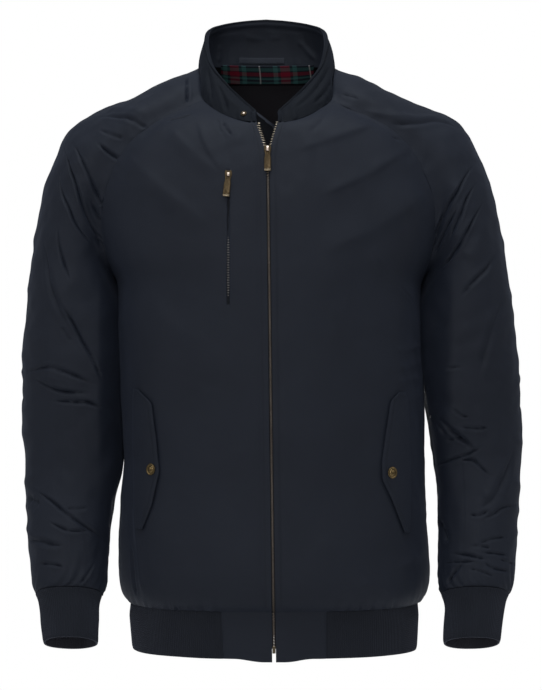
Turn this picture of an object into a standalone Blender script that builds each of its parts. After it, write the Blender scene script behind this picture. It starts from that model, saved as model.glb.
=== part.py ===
"""Harrington jacket, filled out as if worn: a raglan zip jacket with a stand collar, rib cuffs and a rib hem.

Metres, +Z up, the front faces -Y. The origin is the middle of the neck opening at shoulder height.
Right and left are the wearer's, so the right side lies at -X.
"""
import math

import bmesh
import bpy
from mathutils import Matrix, Vector
from mathutils.bvhtree import BVHTree

CLOTH = 0.0012                  # thickness of the shell cloth
RIB = 0.0022                    # thickness of the knitted rib
GAP = 0.0003                    # clear space between two pieces
LAY = 0.0009                    # how far a piece laid on a faceted panel stands off it
LEAN_AT_NECK = -0.0053          # the jacket hangs slightly off plumb: x of its middle at the origin
LEAN_PER_METRE = -0.0128        # and how that x changes with z
RIB_SEAM_Z = -0.640             # where the shell meets the hem rib
HEM_Z = -0.6945                 # lower edge of the hem rib
SLOT_WIDTH = 0.0030             # chest pocket opening
SIDES = {"right": -1.0, "left": 1.0}

SHELL_NAVY = (0.014, 0.018, 0.027, 1.0)
RIB_NAVY = (0.010, 0.013, 0.020, 1.0)
LINING_NAVY = (0.006, 0.008, 0.013, 1.0)
TAPE_NAVY = (0.008, 0.010, 0.016, 1.0)
TARTAN_BASE = (0.030, 0.060, 0.060, 1.0)
BRASS = (0.55, 0.38, 0.14, 1.0)


def table(columns, rows):
    names = columns.split()
    return [dict(zip(names, row)) for row in rows]


# Neckline of one side, from the zip round to the centre back.
NECKLINE = table("x y z seam", [
    (0.0125, -0.104, -0.0730, "zip"),
    (0.0300, -0.100, -0.0715, ""),
    (0.0540, -0.085, -0.0610, ""),
    (0.0745, -0.058, -0.0430, "front raglan"),
    (0.0793, -0.032, -0.0160, ""),
    (0.0803, 0.004, -0.0010, ""),
    (0.0760, 0.040, 0.0080, ""),
    (0.0620, 0.066, 0.0110, "back raglan"),
    (0.0320, 0.078, 0.0108, ""),
    (0.0000, 0.081, 0.0100, "centre back"),
])

# Rows of the yoke below the neckline, down to the underarm point. fx, fy, fz: front raglan seam.
# ox, oy, oz: top of the shoulder and outer arm. bx, by, bz: back raglan seam.
# tube: 0 where the sleeve is an arch over the shoulder, 0.5 where it closes into a tube.
SEAMS = table("fx fy fz ox oy oz bx by bz tube", [
    (0.1060, -0.068, -0.059, 0.118, 0.010, -0.0140, 0.087, 0.090, -0.022, 0.00),
    (0.1540, -0.073, -0.087, 0.170, 0.014, -0.0385, 0.128, 0.103, -0.070, 0.01),
    (0.1870, -0.071, -0.138, 0.2255, 0.012, -0.0635, 0.164, 0.104, -0.126, 0.11),
    (0.1970, -0.062, -0.185, 0.250, 0.008, -0.0960, 0.182, 0.092, -0.178, 0.28),
    (0.1900, -0.044, -0.232, 0.270, 0.004, -0.1500, 0.187, 0.058, -0.234, 0.42),
    (0.1810, 0.008, -0.264, 0.286, 0.003, -0.2430, 0.181, 0.008, -0.264, 0.50),
])

# Front edge and centre back of the same rows. edge: half the opening at the zip.
# front_round, back_round: 1 where the row runs flat into the raglan seam, more where it turns round the side.
MIDDLES = table("edge front_y front_z back_y back_z front_round back_round", [
    (0.0078, -0.111, -0.088, 0.097, -0.022, 1.10, 1.10),
    (0.0023, -0.120, -0.114, 0.114, -0.070, 1.12, 1.10),
    (0.0022, -0.128, -0.154, 0.125, -0.128, 1.20, 1.15),
    (0.0022, -0.132, -0.192, 0.129, -0.180, 1.35, 1.30),
    (0.0022, -0.135, -0.230, 0.130, -0.226, 1.75, 1.75),
    (0.0022, -0.136, -0.264, 0.130, -0.264, 2.60, 2.60),
])

# Body sections below the underarm: half width, front and back depth.
BODY = table("z right left front back", [
    (-0.335, 0.1825, 0.1815, 0.137, 0.129),
    (-0.430, 0.1785, 0.1842, 0.137, 0.126),
    (-0.520, 0.1818, 0.1840, 0.136, 0.125),
    (-0.608, 0.1845, 0.1880, 0.138, 0.128),
    (RIB_SEAM_Z, 0.1722, 0.1740, 0.122, 0.116),
])

# Sleeve sections below the underarm. inner and outer x for each sleeve, centre y,
# depth in front of and behind it, forward tilt in degrees, and how far the inner side is pressed
# flat against the body, 0 to 1.
SLEEVE = table("z inner_right outer_right inner_left outer_left y front back tilt press", [
    (-0.335, 0.1770, 0.2952, 0.1780, 0.2957, 0.001, 0.068, 0.072, -2, 1.0),
    (-0.430, 0.1780, 0.2985, 0.1900, 0.3000, 0.000, 0.062, 0.060, 5, 0.9),
    (-0.490, 0.1815, 0.2950, 0.1965, 0.2965, -0.006, 0.054, 0.052, 12, 0.4),
    (-0.550, 0.1925, 0.2918, 0.1978, 0.2925, -0.022, 0.047, 0.044, 17, 0.1),
    (-0.606, 0.1950, 0.2860, 0.1945, 0.2855, -0.041, 0.042, 0.040, 20, 0.0),
    (-0.626, 0.2020, 0.2800, 0.1985, 0.2775, -0.052, 0.033, 0.032, 22, 0.0),
])

# Rib cuff, along the line of the forearm.
CUFF = table("z inner_right outer_right inner_left outer_left y front back tilt press", [
    (-0.6266, 0.2020, 0.2800, 0.1985, 0.2775, -0.0522, 0.0330, 0.0320, 22, 0),
    (-0.6380, 0.2048, 0.2755, 0.2010, 0.2725, -0.0575, 0.0290, 0.0285, 23, 0),
    (-0.6580, 0.2048, 0.2728, 0.1998, 0.2692, -0.0665, 0.0270, 0.0265, 23, 0),
    (-0.6810, 0.2050, 0.2700, 0.1995, 0.2650, -0.0765, 0.0265, 0.0255, 23, 0),
])

# Rib of the hem, from its seam to its lower edge.
HEM = table("z right left front back", [
    (RIB_SEAM_Z - 0.0005, 0.1719, 0.1737, 0.1218, 0.1158),
    (-0.6580, 0.1709, 0.1727, 0.1212, 0.1150),
    (-0.6760, 0.1703, 0.1721, 0.1208, 0.1146),
    (HEM_Z, 0.1695, 0.1713, 0.1204, 0.1142),
])

# Top edge of the collar on the same stations as the neckline.
COLLAR_TOP = table("x y z", [
    (0.0115, -0.082, -0.0600),
    (0.0330, -0.073, -0.0390),
    (0.0480, -0.060, -0.0220),
    (0.0630, -0.043, -0.0010),
    (0.0690, -0.022, 0.0180),
    (0.0720, 0.002, 0.0350),
    (0.0695, 0.040, 0.0520),
    (0.0560, 0.068, 0.0610),
    (0.0290, 0.082, 0.0670),
    (0.0000, 0.086, 0.0695),
])

# Largest folds of the cloth, each from one point to another as seen from the front.
# height: metres out of the cloth, less than 0 for a hollow. spread: half width of the fold.
FOLDS = table("x0 z0 x1 z1 height spread", [
    (-0.262, -0.135, -0.195, -0.225, 0.0045, 0.012),
    (-0.272, -0.205, -0.185, -0.390, 0.0040, 0.013),
    (-0.290, -0.500, -0.205, -0.560, 0.0045, 0.012),
    (-0.285, -0.362, -0.205, -0.378, 0.0035, 0.012),
    (0.245, -0.170, 0.188, -0.255, 0.0050, 0.012),
    (0.273, -0.290, 0.248, -0.375, 0.0035, 0.013),
    (0.186, -0.402, 0.240, -0.455, -0.0045, 0.012),
    (0.275, -0.500, 0.243, -0.535, 0.0040, 0.012),
    (-0.160, -0.100, -0.078, -0.170, 0.0030, 0.018),
    (0.160, -0.120, 0.075, -0.200, 0.0030, 0.018),
])

FRONT_COLUMNS = (0.0, 0.30, 0.60, 0.86, 1.0)
BACK_COLUMNS = (1.0, 0.84, 0.46, 0.0)
SLEEVE_SPANS = 8
BODY_POWER = 2.4                # squareness of the body sections
SLEEVE_CLEAR = 0.0032           # room between a hanging sleeve and the body
CAGE_LEVEL = 1
FIT_ROUNDS = 8

# Pocket flaps as seen from the front: the sewn side and the free side, from top to bottom.
FLAPS = {
    "right": table("sewn_x free_x z", [
        (0.1590, 0.1535, -0.3841),
        (0.1605, 0.1372, -0.3990),
        (0.1610, 0.1328, -0.4350),
        (0.1610, 0.1291, -0.4794),
        (0.1605, 0.1383, -0.5180),
        (0.1590, 0.1500, -0.5466),
    ]),
    "left": table("sewn_x free_x z", [
        (0.1560, 0.1479, -0.3875),
        (0.1585, 0.1380, -0.3967),
        (0.1605, 0.1312, -0.4358),
        (0.1610, 0.1265, -0.4700),
        (0.1610, 0.1268, -0.4881),
        (0.1605, 0.1372, -0.5104),
        (0.1590, 0.1525, -0.5510),
    ]),
}
FLAP_SNAPS = {"right": (0.1399, -0.4766), "left": (0.1394, -0.4801)}  # x and z of the snap on each flap
COLLAR_LIFT = 0.0008            # the collar stands this far off the neckline
COLLAR_CROWN = 0.0035           # how far the collar swells between its edges
FLAP_THICK = 0.0020
FLAP_LAY = 0.0020               # the flaps stand a little off the fronts
COLLAR_SNAP = (0.0265, -0.0640)
SNAPS = {"collar": {"radius": 0.0035, "height": 0.0016}, "flap": {"radius": 0.0075, "height": 0.0022}}

# Under placket behind the zip: the slanted top, then level rows. attached: on the right, free: towards the left.
WIND_FLAP = table("attached_z free_z y", [
    (-0.0590, -0.0800, -0.0745),
    (-0.0640, -0.0840, -0.0830),
    (-0.0720, -0.0890, -0.0955),
    (-0.0830, -0.0950, -0.1040),
])
WIND_FLAP_X = (-0.0140, 0.0130)

HEM_TAB_X = 0.0610              # the plain hem tabs reach this far from the zip
TAPE_REACH = 0.0016             # zip tape past the front edge, towards the other one
TAPE_WIDTH = 0.0110
TAPE_THICK = 0.0010
CHEST_ZIP_X = -0.0490
CHEST_ZIP_Z = (-0.2860, -0.1310)
SLIDER_Z = -0.1072
CHEST_SLIDER_Z = -0.1365
CHEST_PULL_TILT = 6.0           # degrees that the pocket pull hangs out of line with its zip

SLIDER = {"width": 0.0066, "length": 0.0112, "plate": 0.0013, "between": 0.0038}
BRIDGE = {"width": 0.0018, "inner": 0.00125, "outer": 0.00225}
PULL = {"width": 0.0064, "eye": 0.0052, "length": 0.0260, "thick": 0.0012, "bar": 0.0007, "slot": 0.0030,
        "slot_width": 0.0029}

# Strip of checked cloth and plain strip inside the back neck, x from side to side and z from top to bottom.
NECK_TAPE = {"x": (-0.0620, 0.0530), "z": (0.0083, -0.0105)}
NECK_LOOP = {"x": (-0.0390, 0.0165), "z": (0.0210, 0.0136)}
NECK_FACING = {"x": (0.0700, 0.0980), "z": (-0.0118, -0.1080)}


def clear_scene():
    for old in list(bpy.data.objects):
        bpy.data.objects.remove(old, do_unlink=True)


def collection(name, hidden=False):
    group = bpy.data.collections.new(name)
    bpy.context.scene.collection.children.link(group)
    group.hide_render = hidden
    return group


def material(name, colour, roughness, metallic=0.0):
    made = bpy.data.materials.new(name)
    made.use_nodes = True
    made.diffuse_color = colour
    shader = made.node_tree.nodes["Principled BSDF"]
    shader.inputs["Base Color"].default_value = colour
    shader.inputs["Roughness"].default_value = roughness
    shader.inputs["Metallic"].default_value = metallic
    return made


def mesh_object(name, group, finish, bm):
    """An object from a bmesh, with its own copy of the finish."""
    mesh = bpy.data.meshes.new(name)
    bm.to_mesh(mesh)
    bm.free()
    mesh.shade_smooth()
    mesh.set_sharp_from_angle(angle=math.radians(40))
    made = bpy.data.objects.new(name, mesh)
    colour, roughness, metallic = finish
    mesh.materials.append(material(name, colour, roughness, metallic))
    group.objects.link(made)
    return made


def lean(z):
    return LEAN_AT_NECK + LEAN_PER_METRE * z


def leaned(point):
    return Vector((point[0] + lean(point[2]), point[1], point[2]))


def mix(a, b, share):
    return a + (b - a) * share


def catmull(points, position):
    """A point of the smooth curve through the points. position counts in points."""
    last = len(points) - 1
    index = min(int(position), last - 1)
    share = position - index
    before = points[index - 1] if index > 0 else points[0] * 2 - points[1]
    after = points[index + 2] if index + 2 <= last else points[last] * 2 - points[last - 1]
    here, there = points[index], points[index + 1]
    return 0.5 * (
        2 * here
        + (there - before) * share
        + (2 * before - 5 * here + 4 * there - after) * share ** 2
        + (3 * here - before - 3 * there + after) * share ** 3
    )


def loop_positions():
    """Stations on the neckline, in points: front columns, sleeve columns, back columns."""
    zip_at, front_at, back_at, middle_at = (
        [row["seam"] for row in NECKLINE].index(name)
        for name in ("zip", "front raglan", "back raglan", "centre back")
    )
    spans = len(FRONT_COLUMNS) - 1
    front = [mix(zip_at, front_at, index / spans) for index in range(spans)]
    sleeve = [mix(front_at, back_at, index / SLEEVE_SPANS) for index in range(SLEEVE_SPANS)]
    spans = len(BACK_COLUMNS) - 1
    back = [mix(back_at, middle_at, index / spans) for index in range(spans + 1)]
    return front, sleeve, back


def neck_point(position):
    return catmull([Vector((row["x"], row["y"], row["z"])) for row in NECKLINE], position)


def around(share, roundness):
    """How far a section has turned back, 0 in the middle and 1 at the seam."""
    return 1 - (1 - share ** BODY_POWER) ** (1 / roundness)


def front_point(side, row, column):
    share = FRONT_COLUMNS[column]
    if row == 0:
        front, sleeve, _ = loop_positions()
        return neck_point((front + sleeve[:1])[column])
    if row <= len(SEAMS):
        seam, middle = SEAMS[row - 1], MIDDLES[row - 1]
        return Vector((
            mix(middle["edge"], seam["fx"], share),
            mix(middle["front_y"], seam["fy"], around(share, middle["front_round"])),
            mix(middle["front_z"], seam["fz"], share ** 1.3),
        ))
    ring = BODY[row - len(SEAMS) - 1]
    return Vector((
        mix(MIDDLES[-1]["edge"], ring[side], share),
        -ring["front"] * (1 - around(share, BODY_POWER)),
        ring["z"],
    ))


def back_point(side, row, column):
    share = BACK_COLUMNS[column]
    if row == 0:
        return neck_point(loop_positions()[2][column])
    if row <= len(SEAMS):
        seam, middle = SEAMS[row - 1], MIDDLES[row - 1]
        return Vector((
            seam["bx"] * share,
            mix(middle["back_y"], seam["by"], around(share, middle["back_round"])),
            mix(middle["back_z"], seam["bz"], share),
        ))
    ring = BODY[row - len(SEAMS) - 1]
    return Vector((ring[side] * share, ring["back"] * (1 - around(share, BODY_POWER)), ring["z"]))


def arm_arc(seam, turn):
    """A point of a yoke row of the sleeve. turn: -1 at the front seam, 0 on the shoulder, 1 at the back."""
    outer = Vector((seam["ox"], seam["oy"], seam["oz"]))
    side = "f" if turn < 0 else "b"
    start = Vector((seam[side + "x"], seam[side + "y"], seam[side + "z"]))
    across = Vector((outer.x - start.x, 0, outer.z - start.z))
    centre = Vector((start.x, outer.y, start.z)) + across * seam["tube"]
    reach = across * (1 - seam["tube"])
    first = math.acos(-seam["tube"] / (1 - seam["tube"]))
    if seam["tube"] < 0.5:
        depth = (start.y - outer.y) / math.sin(first)
    else:
        depth = -0.072 if turn < 0 else 0.079
    angle = first * abs(turn)
    return centre + reach * math.cos(angle) + Vector((0, depth * math.sin(angle), 0))


def body_side(side, y, z):
    """Half width of the body at a depth y, on a level below the underarm."""
    rings = [{"z": SEAMS[-1]["fz"], side: SEAMS[-1]["fx"], "front": 0.136, "back": 0.130}] + BODY
    upper, lower = rings[0], rings[1]
    for upper, lower in zip(rings, rings[1:]):
        if z >= lower["z"]:
            break
    share = min(max((upper["z"] - z) / (upper["z"] - lower["z"]), 0), 1)
    depth = mix(upper["front"], lower["front"], share) if y < 0 else mix(upper["back"], lower["back"], share)
    inside = max(1 - (abs(y) / depth) ** BODY_POWER, 0)
    return mix(upper[side], lower[side], share) * inside ** (1 / BODY_POWER)


def tube_point(ring, side, turn):
    """A point of a closed sleeve section. turn runs from -1 over 0, the outer side, to 1."""
    inner, outer = ring["inner_" + side], ring["outer_" + side]
    angle = math.pi * turn
    across = math.cos(angle)
    press = ring["press"] if across < 0 else 0
    squareness = mix(0.9, 0.3, press)
    away = math.copysign(abs(math.sin(angle)) ** mix(1.0, 0.6, press), turn)
    local = away * (ring["front"] if turn < 0 else ring["back"])
    tilt = math.radians(ring["tilt"])
    point = Vector((
        (inner + outer) / 2 + (outer - inner) / 2 * math.copysign(abs(across) ** squareness, across),
        ring["y"] + local * math.cos(tilt),
        ring["z"] - local * math.sin(tilt),
    ))
    point.x = max(point.x, body_side(side, point.y, point.z) + SLEEVE_CLEAR)
    return point


def sleeve_point(side, row, column):
    if row == 0:
        _, sleeve, back = loop_positions()
        return neck_point((sleeve + back[:1])[column])
    turn = 2 * column / SLEEVE_SPANS - 1
    if row <= len(SEAMS):
        return arm_arc(SEAMS[row - 1], turn)
    return tube_point(SLEEVE[row - len(SEAMS) - 1], side, turn)


def limit_place(vert):
    """Where subdivision carries a vertex of a cage of four-sided faces."""
    if len(vert.link_faces) == 1:
        return vert.co.copy()
    if vert.is_boundary:
        ends = [edge.other_vert(vert).co for edge in vert.link_edges if edge.is_boundary]
        return (ends[0] + ends[1] + 4 * vert.co) / 6
    count = len(vert.link_edges)
    near = sum((edge.other_vert(vert).co for edge in vert.link_edges), Vector())
    far = Vector()
    for face in vert.link_faces:
        far += next(v.co for v in face.verts if v != vert and not any(e in face.edges and v in e.verts
                                                                       for e in vert.link_edges))
    return (count ** 2 * vert.co + 4 * near + far) / (count * (count + 5))


def shell_cage():
    """The whole shell as one cage, its faces numbered by piece. Returns the bmesh and the piece names."""
    bm = bmesh.new()
    piece_of = bm.faces.layers.int.new("piece")
    verts = {}
    names = []
    yoke = len(SEAMS)
    front_spans, back_spans = len(FRONT_COLUMNS) - 1, len(BACK_COLUMNS) - 1

    def vert(key, point, mirror):
        if key not in verts:
            verts[key] = bm.verts.new(leaned((point.x * mirror, point.y, point.z)))
        return verts[key]

    def panel(name, rows, columns, key_and_point, mirror, flip):
        names.append(name)
        grid = [[vert(*key_and_point(r, c), mirror) for c in range(columns + 1)] for r in range(rows + 1)]
        for upper, lower in zip(grid, grid[1:]):
            for c in range(columns):
                corners = [upper[c], lower[c], lower[c + 1], upper[c + 1]]
                face = bm.faces.new(corners[::-1] if flip else corners)
                face[piece_of] = len(names) - 1

    for side, mirror in SIDES.items():
        def seam_key(kind, row, side=side):
            return (side, "underarm") if row == yoke else (side, kind, row)

        def front(row, column, side=side):
            edge = seam_key("front seam" if row < yoke else "side", row) if column == front_spans else None
            return edge or (side, "front", row, column), front_point(side, row, column)

        def back(row, column, side=side):
            key = (side, "back", row, column)
            if column == 0:
                key = seam_key("back seam" if row < yoke else "side", row)
            if column == back_spans:
                key = ("centre back", row)
            return key, back_point(side, row, column)

        def sleeve(row, column, side=side):
            key = (side, "sleeve", row, column)
            if column == 0 or (column == SLEEVE_SPANS and row >= yoke):
                key = seam_key("front seam" if row < yoke else "under sleeve", row)
            elif column == SLEEVE_SPANS:
                key = seam_key("back seam", row)
            return key, sleeve_point(side, row, column)

        mirrored = side == "right"
        panel("front_" + side, yoke + len(BODY), front_spans, front, mirror, mirrored)
        panel("back", yoke + len(BODY), back_spans, back, mirror, mirrored)
        panel("sleeve_" + side, yoke + len(SLEEVE), SLEEVE_SPANS, sleeve, mirror, mirrored)

    goals = {v: v.co.copy() for v in bm.verts}
    for _ in range(FIT_ROUNDS):
        moves = {v: goals[v] - limit_place(v) for v in bm.verts}
        for v, move in moves.items():
            v.co += move
    return bm, names


def fold_push(point, normal):
    """How far the folds lift or sink the cloth at a point of the front."""
    push = 0.0
    for fold in FOLDS:
        start, end = Vector((fold["x0"], fold["z0"])), Vector((fold["x1"], fold["z1"]))
        run = end - start
        place = Vector((point.x, point.z)) - start
        along = place.dot(run) / run.length_squared
        nearest = start + run * min(max(along, 0), 1)
        off = (Vector((point.x, point.z)) - nearest).length
        push += fold["height"] * math.exp(-(off / fold["spread"]) ** 2)
    return push * min(max(-normal.y * 1.6, 0), 1)


def smooth_shell(guides):
    """The shell surface: subdivided, folded, one bmesh."""
    cage, names = shell_cage()
    guide = mesh_object("shell_cage", guides, (SHELL_NAVY, 0.6, 0.0), cage)
    guide.hide_render = True
    guide.display_type = "WIRE"
    smooth = guide.modifiers.new("Smooth", "SUBSURF")
    smooth.levels = CAGE_LEVEL
    smooth.render_levels = CAGE_LEVEL
    smooth.boundary_smooth = "PRESERVE_CORNERS"
    bpy.context.view_layer.update()
    fine = bpy.data.meshes.new_from_object(guide.evaluated_get(bpy.context.evaluated_depsgraph_get()))
    surface = bmesh.new()
    surface.from_mesh(fine)
    surface.normal_update()
    pushes = {v: v.normal * fold_push(v.co, v.normal) for v in surface.verts}
    for v, push in pushes.items():
        v.co += push
    surface.normal_update()
    return surface, names


def wall_from(faces, kin, thickness, offset=0.0, trim=GAP / 2):
    """A closed wall on some faces of a surface, its outer side offset from it, its edge trimmed back.

    Both sides follow the normals of the whole surface, so that two pieces stay parallel at their
    seam. At a sharp turn, as at the underarm, they follow those of their kin: the body or the sleeve.
    """
    bm = bmesh.new()
    chosen = set(faces)
    order = []
    for face in faces:
        order += [v for v in face.verts if v not in order]
    outer, inner = {}, {}
    for v in order:
        mine = [face for face in v.link_faces if face in chosen]
        own = sum((face.normal * face.calc_area() for face in v.link_faces if face in kin), Vector()).normalized()
        normal = v.normal if v.normal.dot(own) > 0.75 else own
        place = v.co.copy()
        if any(len([f for f in edge.link_faces if f in chosen]) == 1 for edge in v.link_edges):
            middle = sum((face.calc_center_median() for face in mine), Vector()) / len(mine)
            place += (middle - v.co).normalized() * trim * 1.3
        outer[v] = bm.verts.new(place + normal * offset)
        inner[v] = bm.verts.new(place + normal * (offset - thickness))
    for face in faces:
        bm.faces.new([outer[v] for v in face.verts])
        bm.faces.new([inner[v] for v in reversed(face.verts)])
        for loop in face.loops:
            if len([f for f in loop.edge.link_faces if f in chosen]) == 1:
                start, end = loop.vert, loop.link_loop_next.vert
                bm.faces.new([outer[end], outer[start], inner[start], inner[end]])
    bm.normal_update()
    return bm


def shell_pieces(group, surface, names):
    piece_of = surface.faces.layers.int["piece"]
    faces_of = {name: [] for name in names}
    for face in surface.faces:
        faces_of[names[face[piece_of]]].append(face)
    body = {face for name, faces in faces_of.items() if "sleeve" not in name for face in faces}
    for name, faces in faces_of.items():
        kin = set(faces) if "sleeve" in name else body
        mesh_object(name, group, (SHELL_NAVY, 0.6, 0.0), wall_from(faces, kin, CLOTH))


def grid_object(name, group, finish, rows, thickness, ring=False, outward=False):
    """A wall on a grid of points, its edge open unless the rows are rings."""
    bm = bmesh.new()
    grid = [[bm.verts.new(point) for point in row] for row in rows]
    for upper, lower in zip(grid, grid[1:]):
        count = len(upper)
        for c in range(count if ring else count - 1):
            n = (c + 1) % count
            bm.faces.new([upper[c], lower[c], lower[n], upper[n]])
    made = mesh_object(name, group, finish, bm)
    wall = made.modifiers.new("Wall", "SOLIDIFY")
    wall.thickness = thickness
    wall.offset = 1 if outward else -1
    wall.use_even_offset = True
    return made


def cuff(side, group):
    mirror = SIDES[side]
    turns = [2 * index / 16 for index in range(16)]
    rows = []
    for ring in CUFF:
        points = [tube_point(ring, side, turn if turn <= 1 else turn - 2) for turn in turns]
        rows.append([leaned((point.x * mirror, point.y, point.z)) for point in points])
    if side == "left":
        rows = [row[::-1] for row in rows]
    grid_object("cuff_" + side, group, (RIB_NAVY, 0.8, 0.0), rows, RIB, ring=True)


def hem_point(ring, x_share, back):
    depth = ring["back"] if back else -ring["front"]
    half = ring["right"] if x_share < 0 else ring["left"]
    return Vector((half * x_share, depth * (1 - around(abs(x_share), BODY_POWER)), ring["z"]))


def hem(group):
    """The rib from tab to tab round the back, and the two plain tabs beside the zip."""
    tab_share = HEM_TAB_X / HEM[0]["left"]
    edge_share = MIDDLES[-1]["edge"] / HEM[0]["left"]
    turns = [mix(math.asin(tab_share + 0.002), math.pi / 2, index / 5) for index in range(6)]
    shares = [math.sin(turn) for turn in turns]
    half = [(share, False) for share in shares]
    half += [(math.cos(math.pi / 2 * index / 5), True) for index in range(1, 6)]
    loop = [(-share, back) for share, back in half] + [(share, back) for share, back in half[-2::-1]]
    rows = [[leaned(hem_point(ring, share, back)) for share, back in loop] for ring in HEM]
    grid_object("hem_rib", group, (RIB_NAVY, 0.8, 0.0), [row[::-1] for row in rows], RIB)
    for side, mirror in SIDES.items():
        tab = [mix(edge_share, tab_share, index / 3) * mirror for index in range(4)]
        rows = [[leaned(hem_point(ring, share, False)) for share in tab] for ring in HEM]
        if side == "right":
            rows = [row[::-1] for row in rows]
        grid_object("hem_tab_" + side, group, (SHELL_NAVY, 0.6, 0.0), rows, RIB)


def collar_rows():
    """Rows of the outer face of the collar, from its top edge down to its seam."""
    tops = [Vector((row["x"], row["y"], row["z"])) for row in COLLAR_TOP]
    stations = sum(loop_positions(), [])
    columns = [(1.0, at) for at in stations] + [(-1.0, at) for at in stations[-2::-1]]
    rows = []
    for height in (1.0, 0.5, 0.0):
        row = []
        for mirror, at in columns:
            base, top = neck_point(at), catmull(tops, at)
            out = Vector((base.x, base.y, 0)).normalized()
            point = base + (top - base).normalized() * COLLAR_LIFT + (top - base) * height
            point += out * COLLAR_CROWN * math.sin(math.pi * height)
            row.append(leaned((point.x * mirror, point.y, point.z)))
        rows.append(row)
    return rows


def moved_rows(rows, distance):
    """The rows of a grid moved along their own normals."""
    last_row, last = len(rows) - 1, len(rows[0]) - 1
    moved = []
    for r, row in enumerate(rows):
        down = rows[min(r + 1, last_row)], rows[max(r - 1, 0)]
        moved.append([])
        for c, point in enumerate(row):
            across = row[min(c + 1, last)] - row[max(c - 1, 0)]
            normal = (down[0][c] - down[1][c]).cross(across).normalized()
            moved[-1].append(point + normal * distance)
    return moved


def collar(group):
    finish = (SHELL_NAVY, 0.6, 0.0)
    outer = collar_rows()
    grid_object("collar_outer", group, finish, outer, CLOTH)
    inner = moved_rows(outer, -CLOTH - GAP * 2.5)
    for above, base in zip(inner[-2], inner[-1]):
        base += (above - base).normalized() * (0.0024 if base.y < -0.085 else 0.0004)
    return grid_object("collar_inner", group, finish, inner, CLOTH)


def on_surface(tree, x, z, lift, from_back=False):
    """The point of a surface seen at x, z from the front, or from inside the back, moved out by lift."""
    start = Vector((x, 0 if from_back else -1, z))
    place, normal, _, _ = tree.ray_cast(start, Vector((0, 1, 0)))
    if from_back and normal.y < 0:
        normal = -normal
    return place + normal * lift


def strip_inside_back(name, group, finish, tree, spread, columns, rows, lift, thickness):
    """A strip against the inner face of the back. spread: half widths or sides at the top and the bottom."""
    (left, right), (low_left, low_right) = spread["top"], spread["bottom"]
    grid = []
    for r in range(rows + 1):
        share = r / rows
        z = mix(spread["z"][0], spread["z"][1], share)
        ends = mix(left, low_left, share), mix(right, low_right, share)
        grid.append([on_surface(tree, mix(*ends, c / columns), z, -lift, True) for c in range(columns + 1)])
    return grid_object(name, group, finish, grid, thickness, outward=True)


def inside_neck(group, tree, collar_tree):
    tape, loop, facing = NECK_TAPE, NECK_LOOP, NECK_FACING
    strip_inside_back("neck_tape", group, (TARTAN_BASE, 0.8, 0.0), tree,
                      {"top": tape["x"], "bottom": tape["x"], "z": tape["z"]}, 10, 2, CLOTH + LAY, TAPE_THICK)
    strip_inside_back("neck_loop", group, (SHELL_NAVY, 0.6, 0.0), collar_tree,
                      {"top": loop["x"], "bottom": loop["x"], "z": loop["z"]}, 6, 1, LAY, 0.0013)
    top, low = facing["x"]
    strip_inside_back("neck_facing", group, (LINING_NAVY, 0.5, 0.0), tree,
                      {"top": (-top, top), "bottom": (-low, low), "z": facing["z"]}, 10, 4,
                      CLOTH + LAY, TAPE_THICK)


def front_edge(surface, mirror):
    """The free front edge of one side, from the neck down: pairs of its points and the points beside them."""
    found = []
    limit = max(row["edge"] for row in MIDDLES) + 0.008
    for vert in surface.verts:
        near = abs(vert.co.x - lean(vert.co.z)) < limit and vert.co.y < 0
        if not (vert.is_boundary and near and (vert.co.x - lean(vert.co.z)) * mirror > 0):
            continue
        beside = [edge.other_vert(vert) for edge in vert.link_edges if not edge.is_boundary]
        along = [edge for edge in vert.link_edges if edge.is_boundary
                 and abs(edge.other_vert(vert).co.z - vert.co.z) > 0.003]
        if beside and along:
            found.append((vert.co.copy(), (beside[0].co - vert.co).normalized(), vert.normal.copy()))
    found.sort(key=lambda item: -item[0].z)
    corner = NECKLINE[0]
    start = leaned((corner["x"] * mirror, corner["y"], corner["z"]))
    return [(start.lerp(found[0][0], 0.35), *found[0][1:])] + found


def zip_tapes(group, surface):
    """Tapes behind the two front edges, made from their points and moved back."""
    back = CLOTH + 0.0006
    for side, mirror in SIDES.items():
        rows = []
        for index, (place, across, normal) in enumerate(front_edge(surface, mirror)):
            behind = place - normal * (back if index else back + 0.0012)
            rows.append([behind - across * TAPE_REACH, behind + across * (TAPE_WIDTH - TAPE_REACH)])
        for ring in HEM[:-1]:
            edge = MIDDLES[-1]["edge"]
            y = -ring["front"] + RIB + 0.0006
            reach = (edge - TAPE_REACH, edge - TAPE_REACH + TAPE_WIDTH)
            rows.append([leaned((x * mirror, y, ring["z"])) for x in reach])
        if side == "right":
            rows = [row[::-1] for row in rows]
        grid_object("zip_tape_" + side, group, (TAPE_NAVY, 0.8, 0.0), rows, TAPE_THICK)


def wind_flap(group, surface):
    """The under placket, from the collar end down to the hem, clear behind the zip."""
    rows = []
    for row in WIND_FLAP:
        ends = [(WIND_FLAP_X[0], row["attached_z"]), (WIND_FLAP_X[1], row["free_z"])]
        rows.append([leaned((mix(ends[0][0], ends[1][0], s), row["y"] - 0.008 * s * (row is WIND_FLAP[0]),
                             mix(ends[0][1], ends[1][1], s))) for s in (0, 0.5, 1)])
    for place, _, normal in front_edge(surface, -1.0):
        if place.z < WIND_FLAP[-1]["free_z"] - 0.005:
            rows.append([Vector((lean(place.z) + x, place.y + 0.0068, place.z))
                         for x in (WIND_FLAP_X[0], 0, WIND_FLAP_X[1])])
    grid_object("wind_flap", group, (LINING_NAVY, 0.6, 0.0), rows, CLOTH)


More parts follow.
